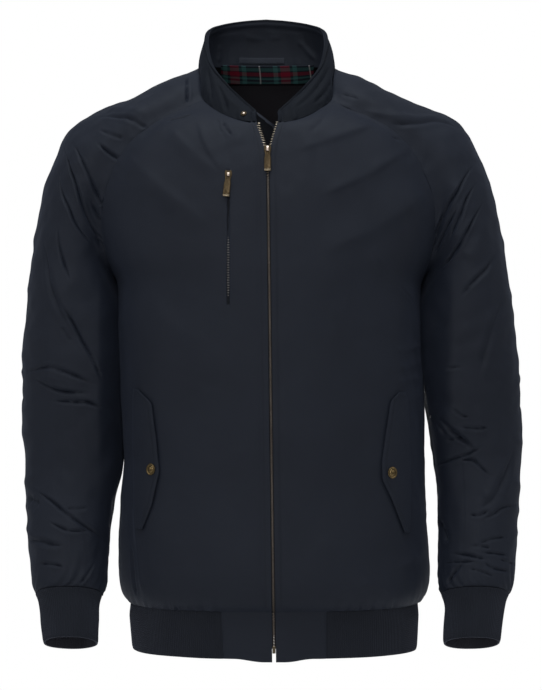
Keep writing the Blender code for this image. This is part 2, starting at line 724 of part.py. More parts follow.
def pocket_flap(side, group, tree):
    mirror = SIDES[side]
    rows = []
    outline = [Vector((row["sewn_x"], row["free_x"], row["z"])) for row in FLAPS[side]]
    for index in range(2 * len(outline) - 1):
        half = index // 2
        sewn, free, z = outline[half] if index % 2 == 0 else (outline[half] + outline[half + 1]) / 2
        xs = [mix(sewn, free, c / 3) for c in range(4)]
        rows.append([on_surface(tree, lean(z) + x * mirror, z, FLAP_LAY) for x in xs])
    if side == "left":
        rows = [row[::-1] for row in rows]
    return grid_object("pocket_flap_" + side, group, (SHELL_NAVY, 0.6, 0.0), rows, FLAP_THICK, outward=True)


def snap(name, group, place, normal, size):
    """A domed press stud, turned round its own axis."""
    bm = bmesh.new()
    profile = [(0, 0), (1, 0), (1, 0.35), (0.82, 0.75), (0.45, 1), (0, 1)]
    verts = [bm.verts.new((r * size["radius"], 0, h * size["height"])) for r, h in profile[::-1]]
    for one, other in zip(verts, verts[1:]):
        bm.edges.new((one, other))
    made = mesh_object(name, group, (BRASS, 0.35, 1.0), bm)
    turned = made.modifiers.new("Turned", "SCREW")
    turned.steps = 16
    turned.render_steps = 16
    turned.use_merge_vertices = True
    turned.merge_threshold = 0.0001
    made.rotation_euler = normal.to_track_quat("Z", "Y").to_euler()
    made.location = place + normal * GAP
    return made


def outline_plate(points, thickness):
    """A plate of the thickness whose outline lies in x, z, middle at y = 0."""
    bm = bmesh.new()
    face = bm.faces.new([bm.verts.new((x, -thickness / 2, z)) for x, z in points])
    grown = bmesh.ops.extrude_face_region(bm, geom=[face])
    moved = [item for item in grown["geom"] if isinstance(item, bmesh.types.BMVert)]
    bmesh.ops.translate(bm, verts=moved, vec=(0, thickness, 0))
    bmesh.ops.recalc_face_normals(bm, faces=bm.faces)
    return bm


def box(name, group, size, centre):
    """A box primitive of a size round a centre."""
    bm = bmesh.new()
    bmesh.ops.create_cube(bm, size=1.0, matrix=Matrix.Translation(centre) @ Matrix.Diagonal((*size, 1.0)))
    made = bpy.data.objects.new(name, bpy.data.meshes.new(name))
    bm.to_mesh(made.data)
    bm.free()
    group.objects.link(made)
    return made


def guide_of(piece):
    piece.hide_render = True
    piece.display_type = "WIRE"


def combine(piece, tool, operation):
    cut = piece.modifiers.new(operation.title(), "BOOLEAN")
    cut.operation = operation
    cut.object = tool
    cut.solver = "EXACT"
    guide_of(tool)


def slider(name, group, guides, place, turn, backed=True):
    """Zip slider: its plate, the bridge that the pull hangs on and, where backed, a second plate on a post.

    Its own origin is the axis of the pull; y runs back into the cloth and z up the zip.
    """
    size, bridge = SLIDER, BRIDGE
    front = bridge["inner"]
    half, top = size["width"] / 2, size["length"] / 2
    tip = half * 0.55
    outline = [(-half, top * 0.1), (-tip, -top), (tip, -top), (half, top * 0.1), (half * 0.8, top), (-half * 0.8, top)]
    bm = outline_plate(outline, size["plate"])
    bmesh.ops.translate(bm, verts=bm.verts, vec=(0, front + size["plate"] / 2, 0))
    made = mesh_object(name, group, (BRASS, 0.35, 1.0), bm)
    tools = []
    if backed:
        under = mesh_object(name + "_under", guides, (BRASS, 0.35, 1.0), outline_plate(outline, size["plate"]))
        under.location = (0, front + size["plate"] * 1.5 + size["between"], 0)
        middle = front + size["plate"] + size["between"] / 2
        post = box(name + "_post", guides, (0.0016, size["between"] + 0.001, 0.0020), (0, middle, top - 0.0016))
        tools += [under, post]
    steps = [math.pi * index / 8 for index in range(9)]
    foot = front + size["plate"] / 2
    arch = [(bridge["outer"] * math.cos(a), -bridge["outer"] * math.sin(a)) for a in steps]
    arch += [(-bridge["outer"], foot), (-bridge["inner"], foot)]
    arch += [(-bridge["inner"] * math.cos(a), -bridge["inner"] * math.sin(a)) for a in steps]
    arch += [(bridge["inner"], foot), (bridge["outer"], foot)]
    hoop_bm = outline_plate(arch, bridge["width"])
    hoop_bm.transform(Matrix(((0, 1, 0, 0), (0, 0, 1, 0), (1, 0, 0, 0), (0, 0, 0, 1))))
    bmesh.ops.recalc_face_normals(hoop_bm, faces=hoop_bm.faces)
    hoop = mesh_object(name + "_bridge", guides, (BRASS, 0.35, 1.0), hoop_bm)
    for tool in tools + [hoop]:
        tool.parent = made
        combine(made, tool, "UNION")
    made.location = place
    made.rotation_euler = turn
    return made


def pull(name, group, guides, place, turn):
    """Pull tab with a slot for the bridge, hanging from its bar; the bar is the joint's axis."""
    size = PULL
    eye, half, low = size["eye"] / 2, size["width"] / 2, -size["length"]
    outline = [(-eye, size["bar"]), (-eye, -0.0040), (-half * 0.78, -0.0062), (-half, -0.0085), (-half, low + 0.0012),
               (-half * 0.75, low)]
    outline += [(-x, z) for x, z in outline[::-1]]
    made = mesh_object(name, group, (BRASS, 0.35, 1.0), outline_plate(outline, size["thick"]))
    slot_size = (size["slot_width"], 0.01, size["slot"] - size["bar"])
    slot = box(name + "_slot", guides, slot_size, (0, 0, -(size["slot"] + size["bar"]) / 2))
    slot.parent = made
    combine(made, slot, "DIFFERENCE")
    made.location = place
    made.rotation_euler = turn
    return made


def slope_at(tree, x, z):
    """Angle from upright of the cloth at a place on the front."""
    upper, lower = on_surface(tree, x, z + 0.006, 0), on_surface(tree, x, z - 0.012, 0)
    return math.atan2(upper.y - lower.y, upper.z - lower.z)


def zips(group, guides, surface, tree):
    zip_tapes(group, surface)
    x = lean(SLIDER_Z)
    beside = 0.0060
    angle = slope_at(tree, x + beside, SLIDER_Z - 0.004)
    cloth = on_surface(tree, x + beside, SLIDER_Z, 0)
    turn = (-angle, 0, 0)
    axis = Vector((x, cloth.y - SLIDER["plate"] - BRIDGE["inner"] - 0.0006, cloth.z))
    slider("zip_slider", group, guides, axis, turn)
    pull("zip_pull", group, guides, axis, turn)
    hem_row = HEM[-1]
    box_place = (lean(-0.683), -hem_row["front"] - 0.0004, -0.6835)
    stop = box("zip_stop", group, (0.0036, 0.0026, 0.0085), (0, 0, 0))
    stop.location = box_place
    stop.data.materials.append(material("zip_stop", BRASS, 0.35, 1.0))
    edge = stop.modifiers.new("Edge", "BEVEL")
    edge.width = 0.0004
    edge.segments = 1
    chest_zip(group, guides, tree)


def chest_zip(group, guides, tree):
    """The slot in the right front, the tape behind it, and its slider and pull."""
    low, high = CHEST_ZIP_Z
    middle = on_surface(tree, CHEST_ZIP_X, (low + high) / 2, 0)
    cutter = box("chest_slot", guides, (SLOT_WIDTH, 0.06, high - low), (CHEST_ZIP_X, middle.y, (low + high) / 2))
    combine(bpy.data.objects["front_right"], cutter, "DIFFERENCE")
    rows = []
    for index in range(9):
        z = mix(high + 0.006, low - 0.006, index / 8)
        rows.append([on_surface(tree, CHEST_ZIP_X + x, z, -CLOTH - LAY) for x in (-0.007, 0, 0.007)])
    grid_object("chest_zip_tape", group, (TAPE_NAVY, 0.8, 0.0), rows, TAPE_THICK)
    angle = slope_at(tree, CHEST_ZIP_X, CHEST_SLIDER_Z)
    cloth = on_surface(tree, CHEST_ZIP_X, CHEST_SLIDER_Z, 0)
    axis = Vector((CHEST_ZIP_X, cloth.y - SLIDER["plate"] - BRIDGE["inner"] - 0.0006, cloth.z))
    slider("chest_zip_slider", group, guides, axis, (-angle, 0, 0), backed=False)
    pull("chest_zip_pull", group, guides, axis, (-angle, math.radians(CHEST_PULL_TILT), 0))


def build():
    clear_scene()
    jacket = collection("Harrington jacket")
    guides = collection("Guides", hidden=True)
    surface, names = smooth_shell(guides)
    shell_pieces(jacket, surface, names)
    tree = BVHTree.FromBMesh(surface)
    for side in SIDES:
        cuff(side, jacket)
    hem(jacket)
    inner = collar(jacket)
    bpy.context.view_layer.update()
    collar_tree = BVHTree.FromObject(inner, bpy.context.evaluated_depsgraph_get())
    inside_neck(jacket, tree, collar_tree)
    wind_flap(jacket, surface)
    for side, mirror in SIDES.items():
        flap = pocket_flap(side, jacket, tree)
        bpy.context.view_layer.update()
        flap_tree = BVHTree.FromObject(flap, bpy.context.evaluated_depsgraph_get())
        x, z = FLAP_SNAPS[side]
        place, normal, _, _ = flap_tree.ray_cast(Vector((lean(z) + x * mirror, -1, z)), Vector((0, 1, 0)))
        snap("flap_snap_" + side, jacket, place, normal, SNAPS["flap"])
    outer_tree = BVHTree.FromObject(bpy.data.objects["collar_outer"], bpy.context.evaluated_depsgraph_get())
    place, normal, _, _ = outer_tree.ray_cast(Vector((lean(0) - COLLAR_SNAP[0], -1, COLLAR_SNAP[1])), Vector((0, 1, 0)))
    snap("collar_snap", jacket, place, normal, SNAPS["collar"])
    zips(jacket, guides, surface, tree)
    surface.free()


build()
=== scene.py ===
import math

import bmesh
import bpy
import numpy as np
from mathutils import Matrix, Vector
from mathutils.bvhtree import BVHTree


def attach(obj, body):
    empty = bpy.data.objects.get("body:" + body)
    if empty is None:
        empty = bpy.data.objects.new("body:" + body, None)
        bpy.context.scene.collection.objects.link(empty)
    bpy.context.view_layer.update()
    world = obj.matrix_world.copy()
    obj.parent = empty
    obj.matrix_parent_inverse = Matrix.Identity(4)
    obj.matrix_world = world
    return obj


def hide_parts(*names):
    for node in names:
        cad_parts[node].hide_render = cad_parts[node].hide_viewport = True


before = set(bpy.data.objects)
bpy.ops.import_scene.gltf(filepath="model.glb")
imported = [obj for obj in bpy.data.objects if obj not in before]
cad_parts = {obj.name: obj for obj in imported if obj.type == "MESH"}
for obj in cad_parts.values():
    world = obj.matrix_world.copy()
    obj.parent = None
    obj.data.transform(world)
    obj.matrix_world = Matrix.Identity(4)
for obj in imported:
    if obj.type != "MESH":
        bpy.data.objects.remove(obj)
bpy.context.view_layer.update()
sides = {"right": -1.0, "left": 1.0}
viewAt = Vector((0, -3.0, -0.3324))  # where the camera stands
print("frame loaded")


def mix(a, b, share):
    return a + (b - a) * share


def rowsOf(names, text):
    names = names.split()
    return [dict(zip(names, map(float, line.split()))) for line in text.strip().splitlines()]


def lean(z):
    return -0.0053 - 0.0128 * z  # the jacket hangs a little off plumb


def leaned(point):
    return Vector((point[0] + lean(point[2]), point[1], point[2]))


def catmull(points, position):
    last = len(points) - 1
    index = min(int(position), last - 1)
    t = position - index
    before = points[index - 1] if index > 0 else points[0] * 2 - points[1]
    after = points[index + 2] if index + 2 <= last else points[last] * 2 - points[last - 1]
    here, there = points[index], points[index + 1]
    return 0.5 * (2 * here + (there - before) * t + (2 * before - 5 * here + 4 * there - after) * t ** 2
                  + (3 * here - before - 3 * there + after) * t ** 3)


def smoothStep(value, low, high):
    t = np.clip((value - low) / (high - low), 0, 1)
    return t * t * (3 - 2 * t)


def unit(vectors):
    return vectors / np.maximum(np.linalg.norm(vectors, axis=-1, keepdims=True), 1e-12)


def dip(distance, at, depth, width):
    # a soft groove, deepest at one distance; a depth below 0 makes a ridge
    return -depth * np.exp(-((distance - at) / width) ** 2)


def within(value, low, high, before, after):
    # 1 between low and high, easing to 0 outside them
    return smoothStep(value, low - before, low + after) * smoothStep(-value, -high - before, -high + after)


def raised(grid, normals, relief):
    return grid + normals * relief[..., None]


def sampled(grid, positions):
    # points of each row at its own positions, counted in columns, on a smooth curve through the row
    count = grid.shape[1]
    padded = np.concatenate([2 * grid[:, :1] - grid[:, 1:2], grid, 2 * grid[:, -1:] - grid[:, -2:-1]], axis=1)
    index = np.clip(positions.astype(int), 0, count - 2)
    t = positions - index
    weights = (-0.5 * t + t ** 2 - 0.5 * t ** 3, 1 - 2.5 * t ** 2 + 1.5 * t ** 3,
               0.5 * t + 2 * t ** 2 - 1.5 * t ** 3, -0.5 * t ** 2 + 0.5 * t ** 3)
    rows = np.arange(grid.shape[0])[:, None]
    return sum(w[..., None] * padded[rows, index + k] for k, w in enumerate(weights))


def resampled(grid, rowAt, columnAt):
    # rowAt: one list of row positions; columnAt: one list of column positions, or one per row
    across = np.broadcast_to(rowAt, (grid.shape[1], len(rowAt)))
    rows = sampled(grid.transpose(1, 0, 2), across).transpose(1, 0, 2)
    return sampled(rows, np.broadcast_to(columnAt, (len(rowAt), np.shape(columnAt)[-1])))


def lengthsAlong(grid, axis):
    step = np.linalg.norm(np.diff(grid, axis=axis), axis=-1)
    pad = np.zeros_like(np.take(step, [0], axis=axis))
    return np.concatenate([pad, np.cumsum(step, axis=axis)], axis=axis)


def borders(grid):
    # how far each point lies from the four edges, along the cloth
    u, v = lengthsAlong(grid, 1), lengthsAlong(grid, 0)
    return {"left": u, "right": u[:, -1:] - u, "top": v, "low": v[-1:] - v}


def nearest(far, *names):
    return np.min([far[name] for name in names], axis=0)


def pointAt(line, length, at):
    # the point, or points, of a line that lie so far along it
    return np.stack([np.interp(at, length, line[:, k]) for k in range(3)], -1)


def spacing(length, fine, coarse, reach, ends=(True, True), step=2):
    # places along a length, close together near its ends; they are one more than a multiple of the step
    at, places = 0.0, [0.0]
    while at < length:
        gap = min(at if ends[0] else 1, length - at if ends[1] else 1)
        at += mix(fine, coarse, min(max(gap / reach, 0), 1))
        places.append(at)
    while len(places) % step != 1:
        at += fine
        places.append(at)
    return np.array(places) * length / places[-1]


def positionsFor(places, lengths):
    # lengths: how far along a row each of its points lies
    return np.interp(places, lengths, np.arange(len(lengths)))


def spread(lengths, fine, coarse, reach, **rest):
    return positionsFor(spacing(lengths[-1], fine, coarse, reach, **rest), lengths)


def gridQuads(rows, columns, closed=False, start=0):
    r, c = np.meshgrid(np.arange(rows - 1), np.arange(columns if closed else columns - 1), indexing="ij")
    n = (c + 1) % columns
    return start + np.stack([r * columns + c, (r + 1) * columns + c, (r + 1) * columns + n, r * columns + n],
                            -1).reshape(-1, 4)


def addObject(name, data):
    made = bpy.data.objects.new(name, data)
    bpy.context.scene.collection.objects.link(made)
    return made


def meshFrom(name, bm, *finishes):
    mesh = bpy.data.meshes.new(name)
    bm.to_mesh(mesh)
    bm.free()
    for finish in finishes:
        mesh.materials.append(finish)
    return mesh


def meshOf(name, points, groups, uv=None):
    # groups: pairs of an array of faces of one size and a material index
    uv = np.zeros((len(points), 2)) if uv is None else uv
    mesh = bpy.data.meshes.new(name)
    mesh.vertices.add(len(points))
    mesh.vertices.foreach_set("co", np.asarray(points, np.float32).ravel())
    loops = np.concatenate([faces.ravel() for faces, _ in groups]).astype(np.int32)
    sizes = np.concatenate([np.full(len(faces), faces.shape[1]) for faces, _ in groups])
    starts = np.concatenate([[0], np.cumsum(sizes)[:-1]])
    mesh.loops.add(len(loops))
    mesh.loops.foreach_set("vertex_index", loops)
    mesh.polygons.add(len(sizes))
    mesh.polygons.foreach_set("loop_start", starts.astype(np.int32))
    slots = np.concatenate([np.full(len(faces), slot) for faces, slot in groups]).astype(np.int32)
    mesh.polygons.foreach_set("material_index", slots)
    layer = mesh.uv_layers.new(name="UVMap")
    layer.data.foreach_set("uv", np.asarray(uv, np.float32)[loops].ravel())
    mesh.update(calc_edges=True)
    mesh.shade_smooth()
    mesh.set_sharp_from_angle(angle=math.radians(50))
    return addObject(name, mesh)


def borderOf(rows, columns, closed, step):
    # the outline of a grid in steps: runs of step + 1 outer places, and the inner places below their ends
    def run(cells):
        return [cells[i:i + step + 1] for i in range(0, len(cells) - 1, step)]
    top = [(0, c) for c in range(columns)] + ([(0, 0)] if closed else [])
    low = [(rows - 1, c) for c in range(columns)] + ([(rows - 1, 0)] if closed else [])
    parts = run(top[::-1]) + run(low)
    if not closed:
        parts += run([(r, 0) for r in range(rows)]) + run([(r, columns - 1) for r in range(rows)][::-1])
    return parts


def skin(name, outer, normals, thickness, finish, lining=None, uv=None, step=2, closed=False,
         roundness=0.0, inner=None):
    # a closed thin wall: the outer grid as given, the inner one thickness behind it and step times coarser
    rows, columns = outer.shape[:2]
    if inner is None:
        inner = outer - normals * thickness
    coarse = inner[::step, ::step]
    flip = (np.cross(outer[1, 0] - outer[0, 0], outer[0, 1] - outer[0, 0]) * normals[0, 0]).sum() < 0
    a, b = gridQuads(rows, columns, closed), gridQuads(*coarse.shape[:2], closed, rows * columns)
    a, b = (a[:, ::-1], b) if flip else (a, b[:, ::-1])
    points = [outer.reshape(-1, 3), coarse.reshape(-1, 3)]
    total = rows * columns + coarse.shape[0] * coarse.shape[1]
    if uv is None:
        uv = np.stack([lengthsAlong(outer, 1), -lengthsAlong(outer, 0)], -1)
    uvs = [uv.reshape(-1, 2), uv[::step, ::step].reshape(-1, 2)]
    rims, middles = [], {}
    for cells in borderOf(rows, columns, closed, step):
        out = [r * columns + c for r, c in cells]
        back = [rows * columns + (r // step) * coarse.shape[1] + c // step for r, c in (cells[0], cells[-1])]
        if not roundness:
            rims.append(out + back[::-1])
            continue
        for r, c in (cells[0], cells[-1]):
            if (r, c) not in middles:
                inR, inC = min(max(r, 1), rows - 2), c if closed else min(max(c, 1), columns - 2)
                away = outer[r, c] - outer[inR, inC]
                away = away / max(np.linalg.norm(away), 1e-9)
                middles[r, c] = total
                total += 1
                points.append((mix(outer[r, c], inner[r, c], 0.5) + away * roundness)[None])
                uvs.append(uv[r, c][None])
        mid = [middles[cells[0]], middles[cells[-1]]]
        rims.append(out + mid[::-1])
        rims.append([mid[0], mid[1]] + back[::-1])
    rims = [rim[::-1] if flip else rim for rim in rims]
    groups = [(a, 0), (b, 1 if lining else 0)]
    for size in sorted({len(rim) for rim in rims}):
        groups.append((np.array([rim for rim in rims if len(rim) == size]), 0))
    made = meshOf(name, np.concatenate(points), groups, np.concatenate(uvs))
    made.data.materials.append(finish)
    if lining:
        made.data.materials.append(lining)
    return made


def gridNormals(grid, like, closed=False):
    down = np.gradient(grid, axis=0)
    if closed:
        across = (np.roll(grid, -1, axis=1) - np.roll(grid, 1, axis=1)) / 2
    else:
        across = np.gradient(grid, axis=1)
    normals = unit(np.cross(down, across))
    return -normals if (normals * like).sum() < 0 else normals


def treeOf(grid):
    return BVHTree.FromPolygons(grid.reshape(-1, 3).tolist(), gridQuads(*grid.shape[:2]).tolist())


def seenAt(tree, x, z):
    # the point of a surface that shows from straight in front, and the way out of it
    hit, normal, _, _ = tree.ray_cast(Vector((x, -1, z)), Vector((0, 1, 0)))
    return hit, normal if normal.y < 0 else -normal


def placed(obj, body, node):
    obj.name = "shown_" + node.split()[0]
    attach(obj, body)
    for name in node.split():
        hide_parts(name)
    return obj


def count(*objects):
    return sum(len(p.vertices) - 2 for o in objects for p in o.data.polygons)


def nodeGroup(name, inputs, outputs):
    group = bpy.data.node_groups.new(name, "ShaderNodeTree")
    for label, kind, value in inputs:
        made = group.interface.new_socket(name=label, in_out="INPUT", socket_type=kind)
        if value is not None:
            made.default_value = value
    for label, kind in outputs:
        group.interface.new_socket(name=label, in_out="OUTPUT", socket_type=kind)
    return group, group.nodes.new("NodeGroupInput"), group.nodes.new("NodeGroupOutput")


def node(tree, kind, links=(), **values):
    made = tree.nodes.new("ShaderNode" + kind)
    for key, value in values.items():
        if key.startswith("in_"):
            made.inputs[int(key[3:])].default_value = value
        else:
            setattr(made, key, value)
    for target, source in links:
        tree.links.new(source, made.inputs[target])
    return made


def maths(tree, operation, *sources, **values):
    return node(tree, "Math", list(enumerate(sources)), operation=operation, **values).outputs[0]


def weaveGroup():
    # crossing threads in the plane of the cloth; Threads is their number in a metre
    inputs = [("Vector", "NodeSocketVector", None), ("Threads", "NodeSocketFloat", 1800.0),
              ("Depth", "NodeSocketFloat", 0.00006)]
    outputs = [("Normal", "NodeSocketVector"), ("Mask", "NodeSocketFloat")]
    group, start, end = nodeGroup("Weave", inputs, outputs)
    scaled = node(group, "VectorMath", [(0, start.outputs[0]), (1, start.outputs[1])], operation="MULTIPLY")
    parts = node(group, "SeparateXYZ", [(0, scaled.outputs[0])])
    threads = [maths(group, "SINE", maths(group, "MULTIPLY", parts.outputs[axis], in_1=math.pi))
               for axis in (0, 1)]
    crossed = maths(group, "MULTIPLY", *threads)
    speck = node(group, "TexNoise", [("Vector", scaled.outputs[0])])
    speck.inputs["Scale"].default_value = 0.6
    height = maths(group, "ADD", crossed, speck.outputs[0])
    bump = node(group, "Bump", [("Height", height), ("Distance", start.outputs[2])])
    bump.inputs["Strength"].default_value = 1.0
    group.links.new(bump.outputs[0], end.inputs[0])
    group.links.new(height, end.inputs[1])
    return group


def mottleGroup():
    # soft uneven patches between two colours, as of dye and wear
    inputs = [("Vector", "NodeSocketVector", None), ("Scale", "NodeSocketFloat", 14.0),
              ("One", "NodeSocketColor", (0.5, 0.5, 0.5, 1)),
              ("Other", "NodeSocketColor", (0.4, 0.4, 0.4, 1))]
    outputs = [("Color", "NodeSocketColor"), ("Mask", "NodeSocketFloat")]
    group, start, end = nodeGroup("Mottle", inputs, outputs)
    patches = node(group, "TexNoise", [("Vector", start.outputs[0]), ("Scale", start.outputs[1])])
    patches.inputs["Detail"].default_value = 5.0
    patches.inputs["Roughness"].default_value = 0.6
    even = node(group, "MapRange", [(0, patches.outputs[0])], in_1=0.3, in_2=0.7)
    tones = [(0, even.outputs[0]), (6, start.outputs[2]), (7, start.outputs[3])]
    blended = node(group, "Mix", tones, data_type="RGBA")
    group.links.new(blended.outputs[2], end.inputs[0])
    group.links.new(even.outputs[0], end.inputs[1])
    return group


weave, mottle = weaveGroup(), mottleGroup()


def newFinish(name, colour):
    made = bpy.data.materials.new(name)
    made.use_nodes = True
    made.diffuse_color = (*colour, 1)
    return made, made.node_tree, made.node_tree.nodes["Principled BSDF"]


def setInputs(shader, values):
    for label, value in values.items():
        shader.inputs[label].default_value = value


def mottled(name, light, dark, scale):
    # a new material whose colour wanders between two tones
    made, tree, shader = newFinish(name, light)
    coords = node(tree, "TexCoord")
    patches = node(tree, "Group", node_tree=mottle)
    tree.links.new(coords.outputs["Object"], patches.inputs[0])
    for place, value in enumerate((scale, (*light, 1), (*dark, 1)), 1):
        patches.inputs[place].default_value = value
    tree.links.new(patches.outputs[0], shader.inputs["Base Color"])
    return made, tree, shader, coords, patches


def cloth(name, light, dark, roughness=0.8, sheen=0.0, sheenTint=(0.6, 0.7, 1.0), threads=1800.0,
          depth=0.00005, scale=14.0, specular=0.25):
    made, tree, shader, coords, _ = mottled(name, light, dark, scale)
    woven = node(tree, "Group", node_tree=weave)
    tree.links.new(coords.outputs["UV"], woven.inputs[0])
    woven.inputs[1].default_value = threads
    woven.inputs[2].default_value = depth
    tree.links.new(woven.outputs[0], shader.inputs["Normal"])
    setInputs(shader, {"Roughness": roughness, "Specular IOR Level": specular, "Sheen Weight": sheen,
                       "Sheen Roughness": 0.45, "Sheen Tint": (*sheenTint, 1)})
    return made


def metal(name, light, dark, roughness):
    made, tree, shader, _, patches = mottled(name, light, dark, 420.0)
    rough = node(tree, "MapRange", [(0, patches.outputs[1])], in_3=roughness - 0.06, in_4=roughness + 0.14)
    tree.links.new(rough.outputs[0], shader.inputs["Roughness"])
    shader.inputs["Metallic"].default_value = 1.0
    return made


liningSheen, ribSheen = (0.8, 0.6, 1.0), (0.7, 0.75, 1.0)
shellCloth = cloth("shell_cloth", (0.0113, 0.0147, 0.0245), (0.0087, 0.0114, 0.0195), 0.62, 0.06, scale=9.0)
liningCloth = cloth("lining_cloth", (0.0085, 0.0068, 0.0105), (0.0060, 0.0050, 0.0080), 0.5, 0.05,
                    liningSheen, 2600.0)
facingCloth = cloth("facing_cloth", (0.0072, 0.0056, 0.0088), (0.0054, 0.0043, 0.0068), 0.6, 0.03,
                    liningSheen, 2600.0)
collarLining = cloth("collar_lining", (0.0080, 0.0106, 0.0176), (0.0060, 0.0080, 0.0136), 0.68, 0.05,
                     scale=22.0, specular=0.2)
# the outer collar: the shell's cloth painted darker, a painted shade for the shadow on the collar
collarShadedCloth = cloth("collar_cloth_painted_shade", (0.0072, 0.0094, 0.0142), (0.0050, 0.0067, 0.0104), 0.72, 0.04,
                    scale=22.0, specular=0.15)
# the wind flap: the shell's navy painted near black, a painted shade for the shadow it lies in
flapShadeCloth = cloth("placket_painted_shade", (0.0022, 0.0026, 0.0042), (0.0016, 0.0019, 0.0031), 0.75, specular=0.08)
# the cuffs' inner face: the rib's colour painted several times lighter, a painted light for the shaded inside
# of the cuff
ribInsidePaintedLight = cloth("rib_inside_painted_light", (0.0560, 0.0560, 0.0700), (0.0460, 0.0460, 0.0580), 0.9, 0.16,
                  ribSheen, 900.0, 0.00012)
ribKnit = cloth("rib_knit", (0.0126, 0.0150, 0.0216), (0.0100, 0.0119, 0.0175), 0.9, 0.16,
                ribSheen, 900.0, 0.00012)
chestTape = cloth("chest_tape", (0.0056, 0.0068, 0.0106), (0.0044, 0.0054, 0.0084),
                  threads=1400.0, depth=0.0001)
zipTape = cloth("zip_tape", (0.0060, 0.0070, 0.0110), (0.0045, 0.0055, 0.0085), 0.85,
                threads=1400.0, depth=0.0001)
thread = cloth("sewing_thread", (0.0120, 0.0150, 0.0230), (0.0090, 0.0115, 0.0180), 0.7, threads=3000.0)
brass = metal("antique_brass", (0.24, 0.195, 0.135), (0.13, 0.102, 0.066), 0.26)
# a pale brass that is a painted reflection of the lamps: on the slider's bridge and the middle of the collar
# snap
highlightBrass = metal("brass_painted_highlight", (0.74, 0.60, 0.50), (0.52, 0.41, 0.32), 0.24)
tabBrass = metal("tab_brass", (0.096, 0.070, 0.040), (0.054, 0.039, 0.022), 0.34)
# the closed teeth: a darker copy of the teeth's brass, a painted shade for the chain sunk between the cloth's
# edges
shadedToothBrass = metal("tooth_brass_painted_shade", (0.150, 0.128, 0.110), (0.070, 0.060, 0.052), 0.42)
toothBrass = metal("tooth_brass", (0.40, 0.34, 0.27), (0.22, 0.18, 0.13), 0.28)
chestBrass = metal("chest_brass", (0.24, 0.23, 0.22), (0.14, 0.13, 0.12), 0.4)
snapBrass = metal("snap_brass", (0.26, 0.185, 0.088), (0.135, 0.094, 0.042), 0.26)
print("finishes made")


shell = {
    "neck": rowsOf("x y z", """
        .0125 -.104 -.0730
        .0300 -.100 -.0715
        .0540 -.085 -.0610
        .0745 -.058 -.0430
        .0793 -.032 -.0160
        .0803 .004 -.0010
        .0760 .040 .0080
        .0620 .066 .0110
        .0320 .078 .0108
        .0000 .081 .0100"""),  # from the zip round to the centre back
    "neckSeams": (0, 3, 7, 9),  # zip, front raglan, back raglan, centre back
    "seams": rowsOf("fx fy fz ox oy oz bx by bz tube", """
        .1060 -.068 -.059 .118 .010 -.0140 .087 .090 -.022 .00
        .1540 -.073 -.087 .170 .014 -.0385 .128 .103 -.070 .01
        .1870 -.071 -.138 .2255 .012 -.0635 .164 .104 -.126 .11
        .1970 -.062 -.185 .250 .008 -.0960 .182 .092 -.178 .28
        .1900 -.044 -.232 .270 .004 -.1500 .187 .058 -.234 .42
        .1810 .008 -.264 .286 .003 -.2430 .181 .008 -.264 .50"""),
    "middles": rowsOf("edge fy fz by bz roundF roundB", """
        .0078 -.111 -.088 .097 -.022 1.10 1.10
        .0023 -.120 -.114 .114 -.070 1.12 1.10
        .0022 -.128 -.154 .125 -.128 1.20 1.15
        .0022 -.132 -.192 .129 -.180 1.35 1.30
        .0022 -.135 -.230 .130 -.226 1.75 1.75
        .0022 -.136 -.264 .130 -.264 2.60 2.60"""),
    "body": rowsOf("z right left front back", """
        -.335 .1825 .1815 .137 .129
        -.430 .1785 .1842 .137 .126
        -.520 .1818 .1840 .136 .125
        -.608 .1845 .1880 .138 .128
        -.640 .1722 .1740 .122 .116"""),
    "sleeve": rowsOf("z inRight outRight inLeft outLeft y front back tilt press", """
        -.335 .1770 .2952 .1780 .2957 .001 .068 .072 -2 1.0
        -.430 .1780 .2985 .1900 .3000 .000 .062 .060 5 .9
        -.490 .1815 .2950 .1965 .2965 -.006 .054 .052 12 .4
        -.550 .1925 .2918 .1978 .2925 -.022 .047 .044 17 .1
        -.606 .1950 .2860 .1945 .2855 -.041 .042 .040 20 0
        -.626 .2020 .2800 .1985 .2775 -.052 .033 .032 22 0"""),
    "frontColumns": (0.0, 0.30, 0.60, 0.86, 1.0),
    "backColumns": (1.0, 0.84, 0.46, 0.0),
    "sleeveSpans": 8,
    "underarm": (-0.072, 0.079),  # where the sleeve's front and back are at the lowest ring
    "squareness": 2.4,  # 2 makes the body an ellipse
    "slope": 1.3,  # how the rows of the front fall from the zip to the raglan seam
    "clear": 0.0006,  # between sleeve and body
    "fit": 8,  # rounds that bring the smooth surface onto the tables
    "level": 3,  # of smoothing
    "thick": 0.0012,  # of the cloth
    "meet": {"sleeve": 0.0055, "front": 0.0035, "back": 0.0035, "z": -0.290, "half": 0.036, "sharp": 2.5},
    "facing": (0.3, 0.95),  # how far a point faces the sleeve, or the body, before it swells to meet it
    "past": 0.0009,  # how far an edge goes past its seam
    "waist": {"z": -0.474, "half": 0.020, "deep": 0.0024},  # a hollow in the right side, at the pocket
}


sleeveTuck = {
    "sleeve_right": {"body": 0.180, "width": 0.024, "top": 0.200, "low": 0.440},
    "sleeve_left": {"body": 0.183, "width": 0.032, "top": 0.215, "low": 0.400},
    "back": 0.016,
    "ease": 0.05,
}


def loopPositions():
    zipAt, frontAt, backAt, middleAt = shell["neckSeams"]
    spans = len(shell["frontColumns"]) - 1
    front = [mix(zipAt, frontAt, i / spans) for i in range(spans)]
    sleeve = [mix(frontAt, backAt, i / shell["sleeveSpans"]) for i in range(shell["sleeveSpans"])]
    spans = len(shell["backColumns"]) - 1
    return front, sleeve, [mix(backAt, middleAt, i / spans) for i in range(spans + 1)]


def neckPoint(position):
    return catmull([Vector((r["x"], r["y"], r["z"])) for r in shell["neck"]], position)


def around(share, roundness):
    return 1 - (1 - share ** shell["squareness"]) ** (1 / roundness)


